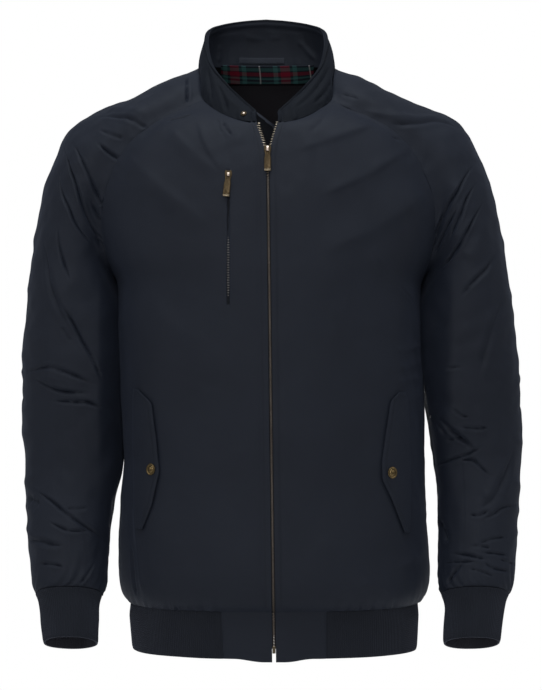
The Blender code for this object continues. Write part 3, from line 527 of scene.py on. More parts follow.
def frontPoint(side, row, column):
    share = shell["frontColumns"][column]
    if row == 0:
        front, sleeve, _ = loopPositions()
        return neckPoint((front + sleeve[:1])[column])
    if row <= len(shell["seams"]):
        seam, middle = shell["seams"][row - 1], shell["middles"][row - 1]
        return Vector((mix(middle["edge"], seam["fx"], share),
                       mix(middle["fy"], seam["fy"], around(share, middle["roundF"])),
                       mix(middle["fz"], seam["fz"], share ** shell["slope"])))
    ring = shell["body"][row - len(shell["seams"]) - 1]
    return Vector((mix(shell["middles"][-1]["edge"], ring[side], share),
                   -ring["front"] * (1 - around(share, shell["squareness"])), ring["z"]))


def backPoint(side, row, column):
    share = shell["backColumns"][column]
    if row == 0:
        return neckPoint(loopPositions()[2][column])
    if row <= len(shell["seams"]):
        seam, middle = shell["seams"][row - 1], shell["middles"][row - 1]
        return Vector((seam["bx"] * share, mix(middle["by"], seam["by"], around(share, middle["roundB"])),
                       mix(middle["bz"], seam["bz"], share)))
    ring = shell["body"][row - len(shell["seams"]) - 1]
    return Vector((ring[side] * share, ring["back"] * (1 - around(share, shell["squareness"])), ring["z"]))


def armArc(seam, turn):
    outer = Vector((seam["ox"], seam["oy"], seam["oz"]))
    side = "f" if turn < 0 else "b"
    start = Vector((seam[side + "x"], seam[side + "y"], seam[side + "z"]))
    across = Vector((outer.x - start.x, 0, outer.z - start.z))
    centre = Vector((start.x, outer.y, start.z)) + across * seam["tube"]
    first = math.acos(-seam["tube"] / (1 - seam["tube"]))
    if seam["tube"] < 0.5:
        depth = (start.y - outer.y) / math.sin(first)
    else:
        depth = shell["underarm"][turn >= 0]
    angle = first * abs(turn)
    return centre + across * (1 - seam["tube"]) * math.cos(angle) + Vector((0, depth * math.sin(angle), 0))


def bodySide(side, y, z):
    seam, middle = shell["seams"][-1], shell["middles"][-1]
    rings = [{"z": seam["fz"], side: seam["fx"], "front": -middle["fy"], "back": middle["by"]}]
    rings += shell["body"]
    for upper, lower in zip(rings, rings[1:]):
        if z >= lower["z"]:
            break
    share = min(max((upper["z"] - z) / (upper["z"] - lower["z"]), 0), 1)
    half = "front" if y < 0 else "back"
    depth = mix(upper[half], lower[half], share)
    inside = max(1 - (abs(y) / depth) ** shell["squareness"], 0)
    return mix(upper[side], lower[side], share) * inside ** (1 / shell["squareness"])


def tubePoint(ring, side, turn):
    inner, outer = ring["in" + side.title()], ring["out" + side.title()]
    angle = math.pi * turn
    across = math.cos(angle)
    press = ring["press"] if across < 0 else 0
    away = math.copysign(abs(math.sin(angle)) ** mix(1.0, 0.6, press), turn)
    local = away * (ring["front"] if turn < 0 else ring["back"])
    tilt = math.radians(ring["tilt"])
    wide = math.copysign(abs(across) ** mix(0.9, 0.3, press), across)
    point = Vector(((inner + outer) / 2 + (outer - inner) / 2 * wide,
                    ring["y"] + local * math.cos(tilt), ring["z"] - local * math.sin(tilt)))
    point.x = max(point.x, bodySide(side, point.y, point.z) + shell["clear"])
    return point


def sleevePoint(side, row, column):
    if row == 0:
        _, sleeve, back = loopPositions()
        return neckPoint((sleeve + back[:1])[column])
    turn = 2 * column / shell["sleeveSpans"] - 1
    if row <= len(shell["seams"]):
        return armArc(shell["seams"][row - 1], turn)
    return tubePoint(shell["sleeve"][row - len(shell["seams"]) - 1], side, turn)


def limitPlace(vert):
    # where the smooth surface takes a point of the cage
    if len(vert.link_faces) == 1:
        return vert.co.copy()
    if vert.is_boundary:
        ends = [edge.other_vert(vert).co for edge in vert.link_edges if edge.is_boundary]
        return (ends[0] + ends[1] + 4 * vert.co) / 6
    n = len(vert.link_edges)
    beside = {edge.other_vert(vert) for edge in vert.link_edges}
    near = sum((v.co for v in beside), Vector())
    corners = [v for face in vert.link_faces for v in face.verts if v != vert and v not in beside]
    far = sum((v.co for v in corners), Vector())
    return (n ** 2 * vert.co + 4 * near + far) / (n * (n + 5))


def shellGrids():
    # the whole shell as one smooth surface; returns points and normals of each panel as ordered grids
    bm = bmesh.new()
    pieceOf, place = bm.faces.layers.int.new("piece"), bm.loops.layers.uv.new("UVMap")
    verts, panels = {}, []
    yoke, spans = len(shell["seams"]), shell["sleeveSpans"]
    frontSpans, backSpans = len(shell["frontColumns"]) - 1, len(shell["backColumns"]) - 1

    def frontKey(side, r, c):
        if c == frontSpans and r == yoke:
            return side, "underarm"
        return (side, "front seam" if r < yoke else "side", r) if c == frontSpans else (side, "front", r, c)

    def backKey(side, r, c):
        if c == 0 and r == yoke:
            return side, "underarm"
        if c == 0:
            return side, "back seam" if r < yoke else "side", r
        return ("centre back", r) if c == backSpans else (side, "back", r, c)

    def sleeveKey(side, r, c):
        if r == yoke and c in (0, spans):
            return side, "underarm"
        if c == 0 or (c == spans and r > yoke):
            return side, "front seam" if r < yoke else "under sleeve", r
        return (side, "back seam", r) if c == spans else (side, "sleeve", r, c)

    for side, mirror in sides.items():
        for name, rows, columns, key, point in (
                ("front_" + side, yoke + len(shell["body"]), frontSpans, frontKey, frontPoint),
                ("back_" + side, yoke + len(shell["body"]), backSpans, backKey, backPoint),
                ("sleeve_" + side, yoke + len(shell["sleeve"]), spans, sleeveKey, sleevePoint)):
            panels.append((name, rows, columns))

            def vert(r, c):
                k = key(side, r, c)
                if k not in verts:
                    p = point(side, r, c)
                    verts[k] = bm.verts.new(leaned((p.x * mirror, p.y, p.z)))
                return verts[k]
            for r in range(rows):
                for c in range(columns):
                    cells = [(r, c), (r + 1, c), (r + 1, c + 1), (r, c + 1)]
                    cells = cells[::-1] if side == "right" else cells
                    face = bm.faces.new([vert(*cell) for cell in cells])
                    face[pieceOf] = len(panels) - 1
                    for loop, cell in zip(face.loops, cells):
                        loop[place].uv = (cell[1], cell[0])
    goals = {v: v.co.copy() for v in bm.verts}
    for _ in range(shell["fit"]):
        moves = {v: goals[v] - limitPlace(v) for v in bm.verts}
        for v, move in moves.items():
            v.co += move
    cage = addObject("cage", meshFrom("cage", bm))
    smooth = cage.modifiers.new("Smooth", "SUBSURF")
    smooth.levels = smooth.render_levels = shell["level"]
    smooth.boundary_smooth, smooth.uv_smooth = "PRESERVE_CORNERS", "NONE"
    bpy.context.view_layer.update()
    fine = bpy.data.meshes.new_from_object(cage.evaluated_get(bpy.context.evaluated_depsgraph_get()))
    points, normals = np.zeros((2, len(fine.vertices) * 3), np.float32)
    fine.vertices.foreach_get("co", points)
    fine.vertex_normals.foreach_get("vector", normals)
    corner, uv = np.zeros(len(fine.loops), np.int32), np.zeros(len(fine.loops) * 2, np.float32)
    fine.loops.foreach_get("vertex_index", corner)
    fine.uv_layers[0].data.foreach_get("uv", uv)
    piece = np.zeros(len(fine.polygons), np.int32)
    fine.attributes["piece"].data.foreach_get("value", piece)
    bpy.data.objects.remove(cage)
    piece, scale = np.repeat(piece, 4), 2 ** shell["level"]
    points, normals, uv = points.reshape(-1, 3), normals.reshape(-1, 3), np.rint(uv.reshape(-1, 2) * scale)
    grids = {}
    for index, (name, rows, columns) in enumerate(panels):
        mine = piece == index
        r, c = uv[mine, 1].astype(int), uv[mine, 0].astype(int)
        both = np.zeros((2, rows * scale + 1, columns * scale + 1, 3))
        both[0, r, c], both[1, r, c] = points[corner[mine]], normals[corner[mine]]
        grids[name] = both
    right, left = grids.pop("back_right"), grids.pop("back_left")
    grids["back"] = np.concatenate([right, left[:, :, -2::-1]], axis=2)
    return grids


grids = shellGrids()
print("shell surface", {name: g.shape[1:3] for name, g in grids.items()})
baseTrees = {name: treeOf(g[0]) for name, g in grids.items()}


creases = {
    # in millimetres: height (below 0 a hollow), half width, lean of the hollow beside it (from -1 to 1) and
    # the places it goes through; a line that ends in a comma goes on below
    "front": {
        "sleeve_right": """
        -3.4 1.46 0  -238.7 -86.1  -225.6 -114  -214.6 -138  -204.6 -160.8  -196.6 -188.4  -193 -208.7
        -3.4 1.38 0  -249 -89.1  -242.6 -114  -234.6 -138  -226.6 -164.4  -216.6 -186  -208.6 -200.4,
            -187.4 -218.7
        -3.0 1.29 0  -254.6 -118.9  -251.6 -146.4  -242.6 -168  -232.6 -190.8  -212.2 -213.6
        -2.2 1.20 0  -216.3 -157.8  -208.6 -176.4  -196.6 -200.9
        -3.6 1.72 0  -211.3 -201.3  -200.6 -216  -190.5 -228.1
        -2.6 1.38 0  -256 -189.8  -254.6 -212.4  -249.6 -232.8  -239.3 -259.8
        -3.0 2.6 0  -273 -206.4  -268.6 -238.8  -263.6 -264  -253.8 -290.4  -244.2 -309.6
        -1.8 1.55 0  -252.7 -310  -239.6 -329.6
        -3.2 1.38 0  -259.1 -272.8  -239.4 -302.4  -227 -326.4  -215 -346.8  -203 -372  -185.1 -400.5
        -2.8 1.89 0  -296.6 -366  -269 -358.8  -253 -362.4  -237 -368.4  -204.4 -383.1
        -3.4 1.72 0  -286.6 -372.4  -263 -384  -247 -388.4  -215.8 -390.5
        -3.6 1.72 0  -264.4 -399.2  -237 -400.8  -219 -401.4  -194.6 -412
        -3.4 1.46 0  -297.7 -496.1  -273.1 -513.2  -262.9 -520.1  -250.9 -530.4  -237.1 -540.7,
            -225.1 -549.2  -211.8 -558  -190 -576.1
        -3.6 4.5 0  -292.2 -514.8  -285 -519.6  -276.6 -523.2
        -2.4 1.38 0  -269.6 -543.5  -254.3 -550.8  -244.2 -555.2  -232.2 -556.1  -214.6 -554.9
        -1.2 1.55 0  -247.1 -528.5  -233.8 -529.6  -217.3 -527.5
        -3.2 2.4 0  -291 -566.4  -276.6 -568.1  -264.6 -571.6  -247.8 -574.1
        -2.2 1.38 0  -279.7 -594.5  -262.9 -595.6  -248.4 -598.7
        -2.0 1.46 0  -210.8 -593.8  -221.8 -610.8  -236 -627.9
        -1.6 1.12 0  -217.9 -612.3  -224.9 -626.1
        -1.4 1.12 0  -260.5 -616.9  -256.7 -629.9
        2.0 8 0  -223.8 -98.4  -208.2 -140.4  -199.8 -176.4
        1.6 7 0  -240.6 -98.4  -228.6 -138  -214.2 -176.4
        1.6 8 0  -264.6 -218.4  -255 -266.4  -234.6 -308.4
        1.8 8 0  -276.6 -369.6  -252.6 -374.4  -222.6 -382.8
        1.6 10 0  -252.6 -536.4  -222.6 -566.4  -204.6 -578.4
        -2.2 1.89 0  -212.5 -59.2  -190.9 -58.1  -173.8 -59.9  -163.4 -64.1  -153.1 -70.1  -133.3 -74.4
        1.8 7 0  -198.6 -50.4  -174.6 -49.2  -144.6 -57.6
        -1.6 1.55 0  -207.6 -73.1  -190.9 -80.4  -175.8 -84.8
        -3.0 1.55 0  -210.7 -88.1  -194.3 -101.9  -182.3 -110.4  -176.1 -123.2
        -2.4 1.38 0  -101.1 -8.8  -100.2 -29.9  -101.1 -49.5""",
        "sleeve_left": """
        -3.6 1.63 0  245.6 -112  231.7 -132.7  223.1 -148.8  216.2 -159.6  210.2 -171.6  205.1 -183.6,
            199.1 -201.6  194.9 -219.6  184.7 -249.1
        -2.8 1.29 0  209.1 -168.4  201 -189.6  195 -206.4  188.3 -226.5
        -3.0 1.29 0  222.9 -169.3  210.2 -192.7  202.6 -210  193.7 -231.8
        -3.0 1.46 0  246.8 -136  235.1 -156.7  228.2 -175.2  220.6 -190.8  213.4 -208.8
        -3.6 1.55 0  256.2 -158.5  241.8 -183.6  233.4 -199.2  226.6 -211.2  217.8 -223.2  204.2 -238.8,
            178 -260.5
        -2.6 1.89 0  272.8 -215.3  260.9 -238.8  248.9 -250.8  236.9 -262.8  226.7 -277.4
        -2.6 3.2 0  277.8 -276.7  271.1 -297.2  265.8 -312.7  260.9 -331.2  255.7 -345.2  253.8 -357.2,
            247.8 -374.4
        -2.2 1.46 0  232.7 -358.2  212.9 -360.7  202.6 -364.8  188.5 -371.6
        -1.4 1.38 0  183.8 -385.9  199.1 -388.1  217.9 -391.3
        -4.2 1.89 0  171.7 -387.8  193.8 -411.6  204.2 -423.6  217.8 -435.6  228.2 -444.7  235.1 -450,
            249.6 -465.4
        -3.4 1.89 0  186.8 -413.6  199.1 -429.2  211.1 -440.4
        -2.2 1.38 0  208.8 -448.2  221.4 -444.7  229.8 -443.7
        -2.0 1.29 0  217.2 -407.6  228.2 -417.2  237.5 -418.4
        -2.4 1.55 0  226.2 -430.4  245.4 -432.7  263.4 -431.7
        -2.8 1.46 0  255.5 -453  235.1 -464.4  217.8 -469.6  197.7 -477.4
        -2.6 1.38 0  220.6 -472.6  241.1 -470.4  250.6 -478.1  266.1 -491.8
        -3.0 3.4 0  292.9 -453.6  284.9 -480.7  276.2 -499.2  269.4 -513.2  260.9 -522  250.6 -529.2
        -2.4 1.38 0  261.9 -530.3  250.6 -537.2  238.1 -536.2
        -2.2 1.38 0  295.4 -524.4  277.8 -527.9  267.7 -535.6  253.3 -541.8
        -3.4 4.0 0  201 -542.4  207 -554.4  211.8 -572.4
        -2.0 1.29 0  238 -574.1  253.8 -574.1  264.8 -576.6
        -3.0 1.46 0  213 -582.3  235.1 -584.4  245.4 -586.8  262.1 -590.6
        -2.2 1.29 0  254.4 -581.1  271.1 -582.7  285.6 -584.8
        -2.0 1.20 0  247.5 -571.7  267.7 -564.7  285.1 -562.3
        -2.0 1.20 0  206.7 -594.1  228.2 -592.8  246.9 -591.9
        -2.4 1.38 0  255.9 -592.8  267.7 -600.7  287 -604.2
        -2.0 1.20 0  275.5 -589.6  292.1 -595.4
        -3.2 1.55 0  230.8 -592.6  219.7 -605.9  209.9 -620.8
        -1.6 1.20 0  235.9 -600.3  253.8 -604.8  271.6 -612.2
        2.2 8 0  229.8 -124.8  213 -164.4  203.4 -200.4
        1.8 7 0  246.6 -158.4  232.2 -192  213 -220.8
        2.0 9 0  261 -176.4  249 -206.4  229.8 -232.8
        1.6 9 0  273 -278.4  258.6 -332.4  251.4 -374.4
        2.0 7 0  198.6 -408  217.8 -424.8  237 -441.6
        1.6 7 0  281.4 -464.4  269.4 -500.4  251.4 -518.4
        -1.8 2.4 0  141 -66.6  156.6 -67.2  177.7 -65.4  196.6 -63.6  211.8 -67.1  222.2 -72
        1.8 5 0  97.8 -48  136.2 -55.8  180.6 -58.2  207 -58.2
        -0.8 1.72 0  84.7 -31.8  104.9 -37.4""",
        "front_left": """
        -1.2 1.55 0  144.6 -83.4  157.1 -86.6  165 -89.5
        -1.0 1.72 0  114.6 -216  145.8 -253.2  172.2 -288
        4.0 20 0.35  193.8 -141.6  131.4 -187.2  57 -220.8
        2.1 9 0.4  165 -97.2  113.4 -128.4  57 -153.6
        2.0 10 0.4  133.8 -63.6  83.4 -80.4  23.4 -100.8
        1.3 7 0.3  111 -213.6  145.8 -252  172.2 -286.8
        1.6 5 0.0  147 -603.6  169.8 -590.4  186.6 -576
        1.2 5 0.0  97.8 -624  121.8 -619.2  145.8 -631.2
        1.3 3.5 0.0  145.8 -338.4  162.6 -338.4  179.4 -331.2
        1.3 3.5 0.0  150.6 -357.6  166.2 -357.6  180.6 -350.4
        1.2 3.5 0.0  148.2 -376.8  162.6 -374.4  179.4 -370.8
        1.0 5 0.0  153 -408  167.4 -398.4  180.6 -388.8
        1.0 12 0.0  59.4 -278.4  95.4 -304.8  143.4 -314.4
        0.9 14 0.0  47.4 -566.4  89.4 -580.8  137.4 -566.4
        1.0 8 0.0  35.4 -72  42.6 -110.4  35.4 -146.4
        -1.1 3 0  73.8 -40.8  61.8 -62.4  45 -79.2""",
        "front_right": """
        -2.0 1.38 0  -125.4 -63.6  -111 -60  -94.2 -55.2
        -1.0 1.55 0  -65.8 -58.8  -62.3 -69.2  -58.9 -79.6
        -1.2 1.38 0  -59.4 -60.7  -53.8 -72.7  -46.9 -81.6
        2.4 6 0  -163.8 -518.4  -159 -578.4  -151.8 -638.4
        -2.4 2.5 0  -168.6 -572.4  -165 -608.4  -161.4 -638.4
        3.4 17 0.25  -178.2 -100.8  -126.6 -148.8  -72.6 -189.6
        2.0 11 0.3  -123 -69.6  -96.6 -98.4  -58.2 -129.6
        1.9 7 -0.5  -89.4 -57.6  -77.4 -92.4  -55.8 -128.4
        -0.8 5 0.0  -58.2 -60  -54.6 -86.4  -51 -116.4
        0.9 12 0.0  -144.6 -278.4  -108.6 -314.4  -66.6 -332.4
        0.8 14 0.0  -132.6 -590.4  -96.6 -566.4  -48.6 -580.8
        1.0 9 0.0  -41.4 -72  -36.6 -98.4  -24.6 -129.6""",
        "collar_outer": """
        -2.0 1.89 0  -76.2 2.4  -72.6 -21.6  -70.2 -43.2
        -2.2 1.72 0  -64.2 -19.2  -55.8 -38.4  -52.8 -54
        1.2 4 0  -81 28.8  -71.4 -4.8  -53.4 -34.8  -29.4 -52.8
        -1.7 1.89 0  75 9.6  61.8 -14.4  45 -34.8  23.4 -52.8
        1.1 4 0  72.6 24  60.6 -7.2  40.2 -33.6  18.6 -55.2
        -1.6 1.72 0  76.2 -9.6  65.4 -28.8  49.8 -44.4""",
        "collar_inner": """
        1.6 2.6 0  31.8 33.6  43.8 20.4  57 7.2
        1.2 2.6 0  -63 28.8  -61.8 16.8  -65.4 4.8
        0.9 3.0 0  -36.6 38.4  -10.2 33.6  16.2 37.2""",
    },
    "back": {
        "back": """
        1.8 18 0  -128 -110  -112 -230  -100 -380
        1.6 16 0  122 -118  108 -250  94 -370
        1.9 9 0.3  -170 -196  -125 -214  -66 -222
        1.7 8 -0.3  172 -204  132 -224  74 -238
        1.5 7 0  -176 -236  -134 -262  -86 -276
        1.6 8 0  174 -244  136 -272  98 -296
        1.2 16 0  -70 -60  -50 -120  -44 -190
        1.1 15 0  62 -66  52 -130  34 -200
        1.3 12 0  -150 -420  -90 -446  -20 -438
        1.2 13 0  150 -400  92 -424  30 -416
        1.4 10 0  -168 -604  -110 -574  -46 -588
        1.5 10 0  24 -562  84 -590  150 -580
        1.1 14 0  -66 -502  -2 -520  62 -506
        1.5 5 0  -176 -330  -150 -322  -126 -330
        1.4 5 0  178 -340  156 -334  130 -346
        1.4 5 0  -172 -356  -150 -352  -132 -358""",
        "sleeve_right": """
        2.2 6 0.4  -206 -222  -232 -180  -262 -150
        1.9 6 0  -206 -250  -236 -232  -268 -196
        2.0 7 0  -286 -280  -262 -330  -226 -372
        2.8 6 0.5  -292 -366  -252 -352  -204 -362
        2.3 5 0.4  -294 -396  -256 -386  -206 -398
        -2.4 5 0  -288 -416  -250 -424  -210 -414
        2.0 6 0  -292 -444  -256 -452  -212 -440
        2.4 6 -0.4  -216 -486  -250 -508  -290 -516
        1.8 4.5 0  -288 -546  -256 -540  -218 -552
        1.7 4 0  -284 -580  -258 -572  -226 -580
        1.4 3.5 0  -276 -600  -270 -616  -268 -632
        1.4 3.5 0  -240 -598  -236 -614  -238 -630
        1.3 8 0  -196 -60  -150 -52  -108 -30""",
        "sleeve_left": """
        2.3 6 -0.4  206 -228  230 -186  258 -152
        1.8 6 0  208 -256  238 -238  266 -204
        2.1 7 0  288 -290  266 -338  230 -376
        2.8 6 -0.5  294 -374  254 -362  206 -372
        2.3 5 0  296 -404  258 -398  208 -406
        -2.6 5 0  290 -428  252 -434  212 -424
        1.9 6 0  292 -456  258 -462  214 -450
        2.4 6 0.4  216 -496  250 -516  290 -522
        1.8 4.5 0  288 -552  258 -546  220 -558
        1.6 4 0  284 -584  260 -578  228 -586
        1.4 3.5 0  272 -602  268 -616  266 -630
        1.4 3.5 0  244 -600  240 -614  240 -630
        1.3 8 0  200 -64  154 -54  112 -32""",
    },
    "outside": {
        "sleeve_right": """
        1.2 8 0  40 -130  10 -180  -22 -214
        1.1 7 0  52 -210  16 -250  -30 -266
        1.4 8 0  56 -300  20 -340  -34 -352
        1.5 6 0.4  58 -372  14 -364  -44 -380
        -1.4 5 0  50 -408  8 -400  -40 -412
        1.2 6 0  46 -440  4 -452  -46 -448
        1.5 6 0  30 -500  -14 -514  -58 -498
        1.1 5 0  22 -540  -22 -546  -66 -536
        1.0 4 0  10 -580  -30 -574  -70 -584""",
        "sleeve_left": """
        1.2 8 0  42 -136  12 -184  -20 -220
        1.1 7 0  50 -216  14 -258  -32 -272
        1.4 8 0  54 -308  18 -346  -36 -360
        1.5 6 0.4  56 -382  12 -374  -44 -388
        -1.4 5 0  50 -418  6 -412  -42 -420
        1.2 6 0  44 -452  2 -462  -46 -458
        1.5 6 0  28 -508  -16 -520  -58 -506
        1.1 5 0  20 -548  -24 -552  -66 -544
        1.0 4 0  8 -586  -32 -580  -70 -590""",
    },
}


creaseCut = {
    "step": 0.005,  # along the path
    "reach": 3.2,  # how many widths away a crease is felt
    "lip": (2.2, 0.20, 1.0),  # the raised lips beside a groove: where, how high and how wide, in widths
    "taper": 0.24,  # the share of the path over which each end fades
    "caught": 0.38,  # points this share of a cell from a groove slide onto its line
    "slide": 0.45,
    "uneven": ((0.22, 9, 1), (0.12, 23, 2)),  # along the path: height, pace and shift
}


def creasesOf(panel):
    # the paths lie on the plane through the middle of the jacket, as seen from each side
    found = []
    for view, texts in creases.items():
        for line in texts.get(panel, "").replace(",\n", " ").strip().splitlines():
            height, width, hollow, *path = map(float, line.split())
            knots = [(a / 1000, b / 1000) for a, b in zip(path[::2], path[1::2])]
            found.append({"panel": panel, "view": view, "height": height / 1000, "width": width / 1000,
                          "hollow": hollow, "knots": knots})
    return found


def creaseLine(item):
    # the path laid on the cloth: its points and the way out of the cloth at each
    panel, view = item["panel"], item["view"]
    if view == "outside":
        eye = Vector((-viewAt.y * sides[panel.split("_")[1]], 0, viewAt.z))
        knots = [Vector((0, a, b)) for a, b in item["knots"]]
    else:
        eye = viewAt if view == "front" else Vector((0, -viewAt.y, viewAt.z))
        knots = [Vector((a, 0, b)) for a, b in item["knots"]]
    spans = len(knots) - 1
    steps = max(6, int(sum((b - a).length for a, b in zip(knots, knots[1:])) / creaseCut["step"]))
    found = []
    for i in range(steps + 1):
        aim = catmull(knots, spans * i / steps)
        hit, normal, _, _ = baseTrees[panel].ray_cast(eye, (aim - eye).normalized())
        if hit:
            found.append((hit, normal if normal.dot(aim - eye) < 0 else -normal))
    return np.array([h for h, _ in found]), np.array([n for _, n in found])


def creaseProfile(item, q):
    # the height across a crease, q widths from its line
    if item["height"] < 0:
        return np.exp(-1.5 * (np.sqrt(q * q + 0.06) - 0.245)) + dip(np.abs(q), *creaseCut["lip"])
    crisp, side = abs(item["hollow"]), q * math.copysign(1, item["hollow"])
    ridge = np.exp(-np.abs(q) ** 1.7)
    drop = 0.5 * (3 * np.exp(-(side / 0.36) ** 2) - np.exp(-(side / 1.05) ** 2))  # steep beside the hollow
    return np.where(side > 0, mix(ridge, drop, crisp), ridge)


def creaseRelief(name, points, cell=0.0):
    # the height of all creases at each point, and a slide that brings points near a sharp one onto its line
    relief, slide = np.zeros(points.shape[:2]), np.zeros(points.shape)
    for item in creasesOf(name):
        line, up = creaseLine(item)
        if len(line) < 3:
            print("crease misses", name, item["knots"][0])
            continue
        reach = item["width"] * creaseCut["reach"] + 0.001
        near = ((points > line.min(0) - reach) & (points < line.max(0) + reach)).all(-1)
        p = points[near]
        if not len(p):
            continue
        a, d = line[:-1], np.diff(line, axis=0)
        t = np.clip(((p[:, None] - a) * d).sum(-1) / np.maximum((d * d).sum(-1), 1e-12), 0, 1)
        away = p[:, None] - a - t[..., None] * d
        distance = np.linalg.norm(away, axis=-1)
        best, rows = distance.argmin(1), np.arange(len(p))
        sideways = np.cross(up[best], unit(d[best]))
        signed = (away[rows, best] * sideways).sum(-1)
        signed = distance[rows, best] * np.sign(signed)
        along = (best + t[rows, best]) / len(a)
        if item["height"] < 0:
            caught = (np.abs(signed) < cell * creaseCut["caught"]) & (along > 0.01) & (along < 0.99)
            slide[near] -= np.where(caught[:, None], away[rows, best], 0)
            signed = np.where(caught, 0, signed)
        uneven = 1 + sum(high * np.sin(along * pace + len(line) * shift)
                         for high, pace, shift in creaseCut["uneven"])
        q = signed / (item["width"] * (0.75 + 0.5 * np.sin(np.pi * np.clip(along, 0, 1))))  # ends are narrow
        taper = smoothStep(along, -0.001, creaseCut["taper"])
        taper = taper * smoothStep(1 - along, -0.001, creaseCut["taper"])
        relief[near] += item["height"] * taper * creaseProfile(item, q) * uneven
    longest = np.linalg.norm(slide, axis=-1, keepdims=True)
    return relief, slide * np.minimum(1, cell * creaseCut["slide"] / np.maximum(longest, 1e-9))


def waves(points, seed, lengths, height, count=22):
    # gentle unevenness: many crossing waves of random direction, of about the lengths given
    random = np.random.default_rng(seed)
    directions = unit(random.normal(size=(count, 3)))
    sizes = np.exp(random.uniform(*np.log(lengths), count))
    phases = random.uniform(0, 2 * np.pi, count)
    total = sum(size * np.sin(points @ way * (2 * np.pi / size) + phase)
                for way, size, phase in zip(directions, sizes, phases))
    return total * height / np.sqrt((sizes ** 2).sum() / 2)


def pucker(along, distance, pitch, height, reach, seed):
    # small gathers beside a seam, uneven along it and dying away from it
    random = np.random.default_rng(seed)
    total = 0
    for part in (0.72, 1.0, 1.37, 2.1):
        phase = random.uniform(0, 6.3) + distance / reach * random.uniform(-1, 1)
        total = total + np.sin(along * 2 * np.pi / (pitch * part) + phase)
    fade = np.exp(-(distance / reach) ** 1.3) * smoothStep(distance, -0.0005, 0.003)
    patchy = 0.6 + 0.4 * np.sin(along * 2 * np.pi / (pitch * 5.3) + random.uniform(0, 6.3))
    return total / 2 * height * fade * patchy


panelCut = {
    "front": {"fine": 0.0008, "coarse": 0.0021, "reach": 0.010, "waves": 0.0004, "ripples": 0.00008,
              "gathers": (0.021, 0.0010, 0.022)},  # gathers: pitch, height and reach
    "back": {"fine": 0.0010, "coarse": 0.0026, "reach": 0.010, "waves": 0.0007, "ripples": 0.00008,
             "gathers": (0.021, 0.0010, 0.022)},
    "sleeve": {"fine": 0.0009, "coarse": 0.00172, "reach": 0.008, "waves": 0.0006, "ripples": 0.00022,
               "gathers": (0.015, 0.0014, 0.020)},
    "step": 4,  # the inner side of the cloth is this many times coarser
    "waveLengths": (0.035, 0.11),
    "rippleLengths": (0.012, 0.03),
    "calm": 0.02,  # no waves this near the neck and the lower edge
    "placketFold": (0.0085, 0.0005, 0.0022),  # folds, dips and lips: where, how deep and how wide
    "placketStitch": 0.0066,
    "seamDip": (0.0, 0.0003, 0.0014),
    "seamGathers": (0.019, 0.0004, 0.010),
    "neckDip": (0.0, 0.0006, 0.0018),
    "lowDip": (0.0, 0.0005, 0.0018),
    "hemGathers": {"x": 0.112, "half": 0.030, "size": (0.0076, 0.0021, 0.010)},
}
chestZip = {
    "x": -0.0490,
    "z": (-0.2860, -0.1310),
    "half": 0.00148,  # of the slot's width
    "deep": 0.0013,
    "lip": (0.0030, -0.0003, 0.0016),
    "band": (0.7, 1.35, 1.55, 1.95, 2.6, 3.6, 5, 7),  # places beside the slot, in millimetres
    "seen": (-0.271, -0.213),  # here the teeth show
    "tooth": (0.0030, 0.0010, 0.0011),
    "pitch": 0.0029,
    "sunk": (-0.0007, 0.0002),  # the teeth: hidden, shown
    "tape": (0.0014, 0.0008),  # half its width, and how far it lies inside
    "axis": Vector((-0.049, -0.126855, -0.1365)),
    "tilt": math.radians(-10.1812),
    "askew": math.radians(6),  # how the pull tab hangs
}


def slotColumns(grid, base, rowZ):
    # column positions for the front with the pocket slot: a close band that follows the slot
    band = np.array([-at for at in chestZip["band"][::-1]] + [0] + list(chestZip["band"])) / 1000
    middle = np.array([np.interp(-chestZip["x"], -row[:, 0], np.arange(grid.shape[1])) for row in grid])
    inside = (rowZ < chestZip["z"][1]) & (rowZ > chestZip["z"][0])
    at = np.arange(len(rowZ))
    slope, start = np.polyfit(at[inside], middle[inside], 1)
    middle = start + slope * np.clip(at, at[inside][0], at[inside][-1])
    width = lengthsAlong(grid, 1)[:, -1] / (grid.shape[1] - 1)
    width = np.full_like(width, width[inside].mean())
    left = [p for p in base if p < middle.min() + band[0] / width[0] - 0.15]
    right = [p for p in base if p > middle.max() + band[-1] / width[0] + 0.15]
    rows = np.array([np.concatenate([left, m + band / w, right]) for m, w in zip(middle, width)])
    while rows.shape[1] % panelCut["step"] != 1:
        rows = np.concatenate([rows[:, :-1], (rows[:, -2:-1] + rows[:, -1:]) / 2, rows[:, -1:]], axis=1)
    return rows


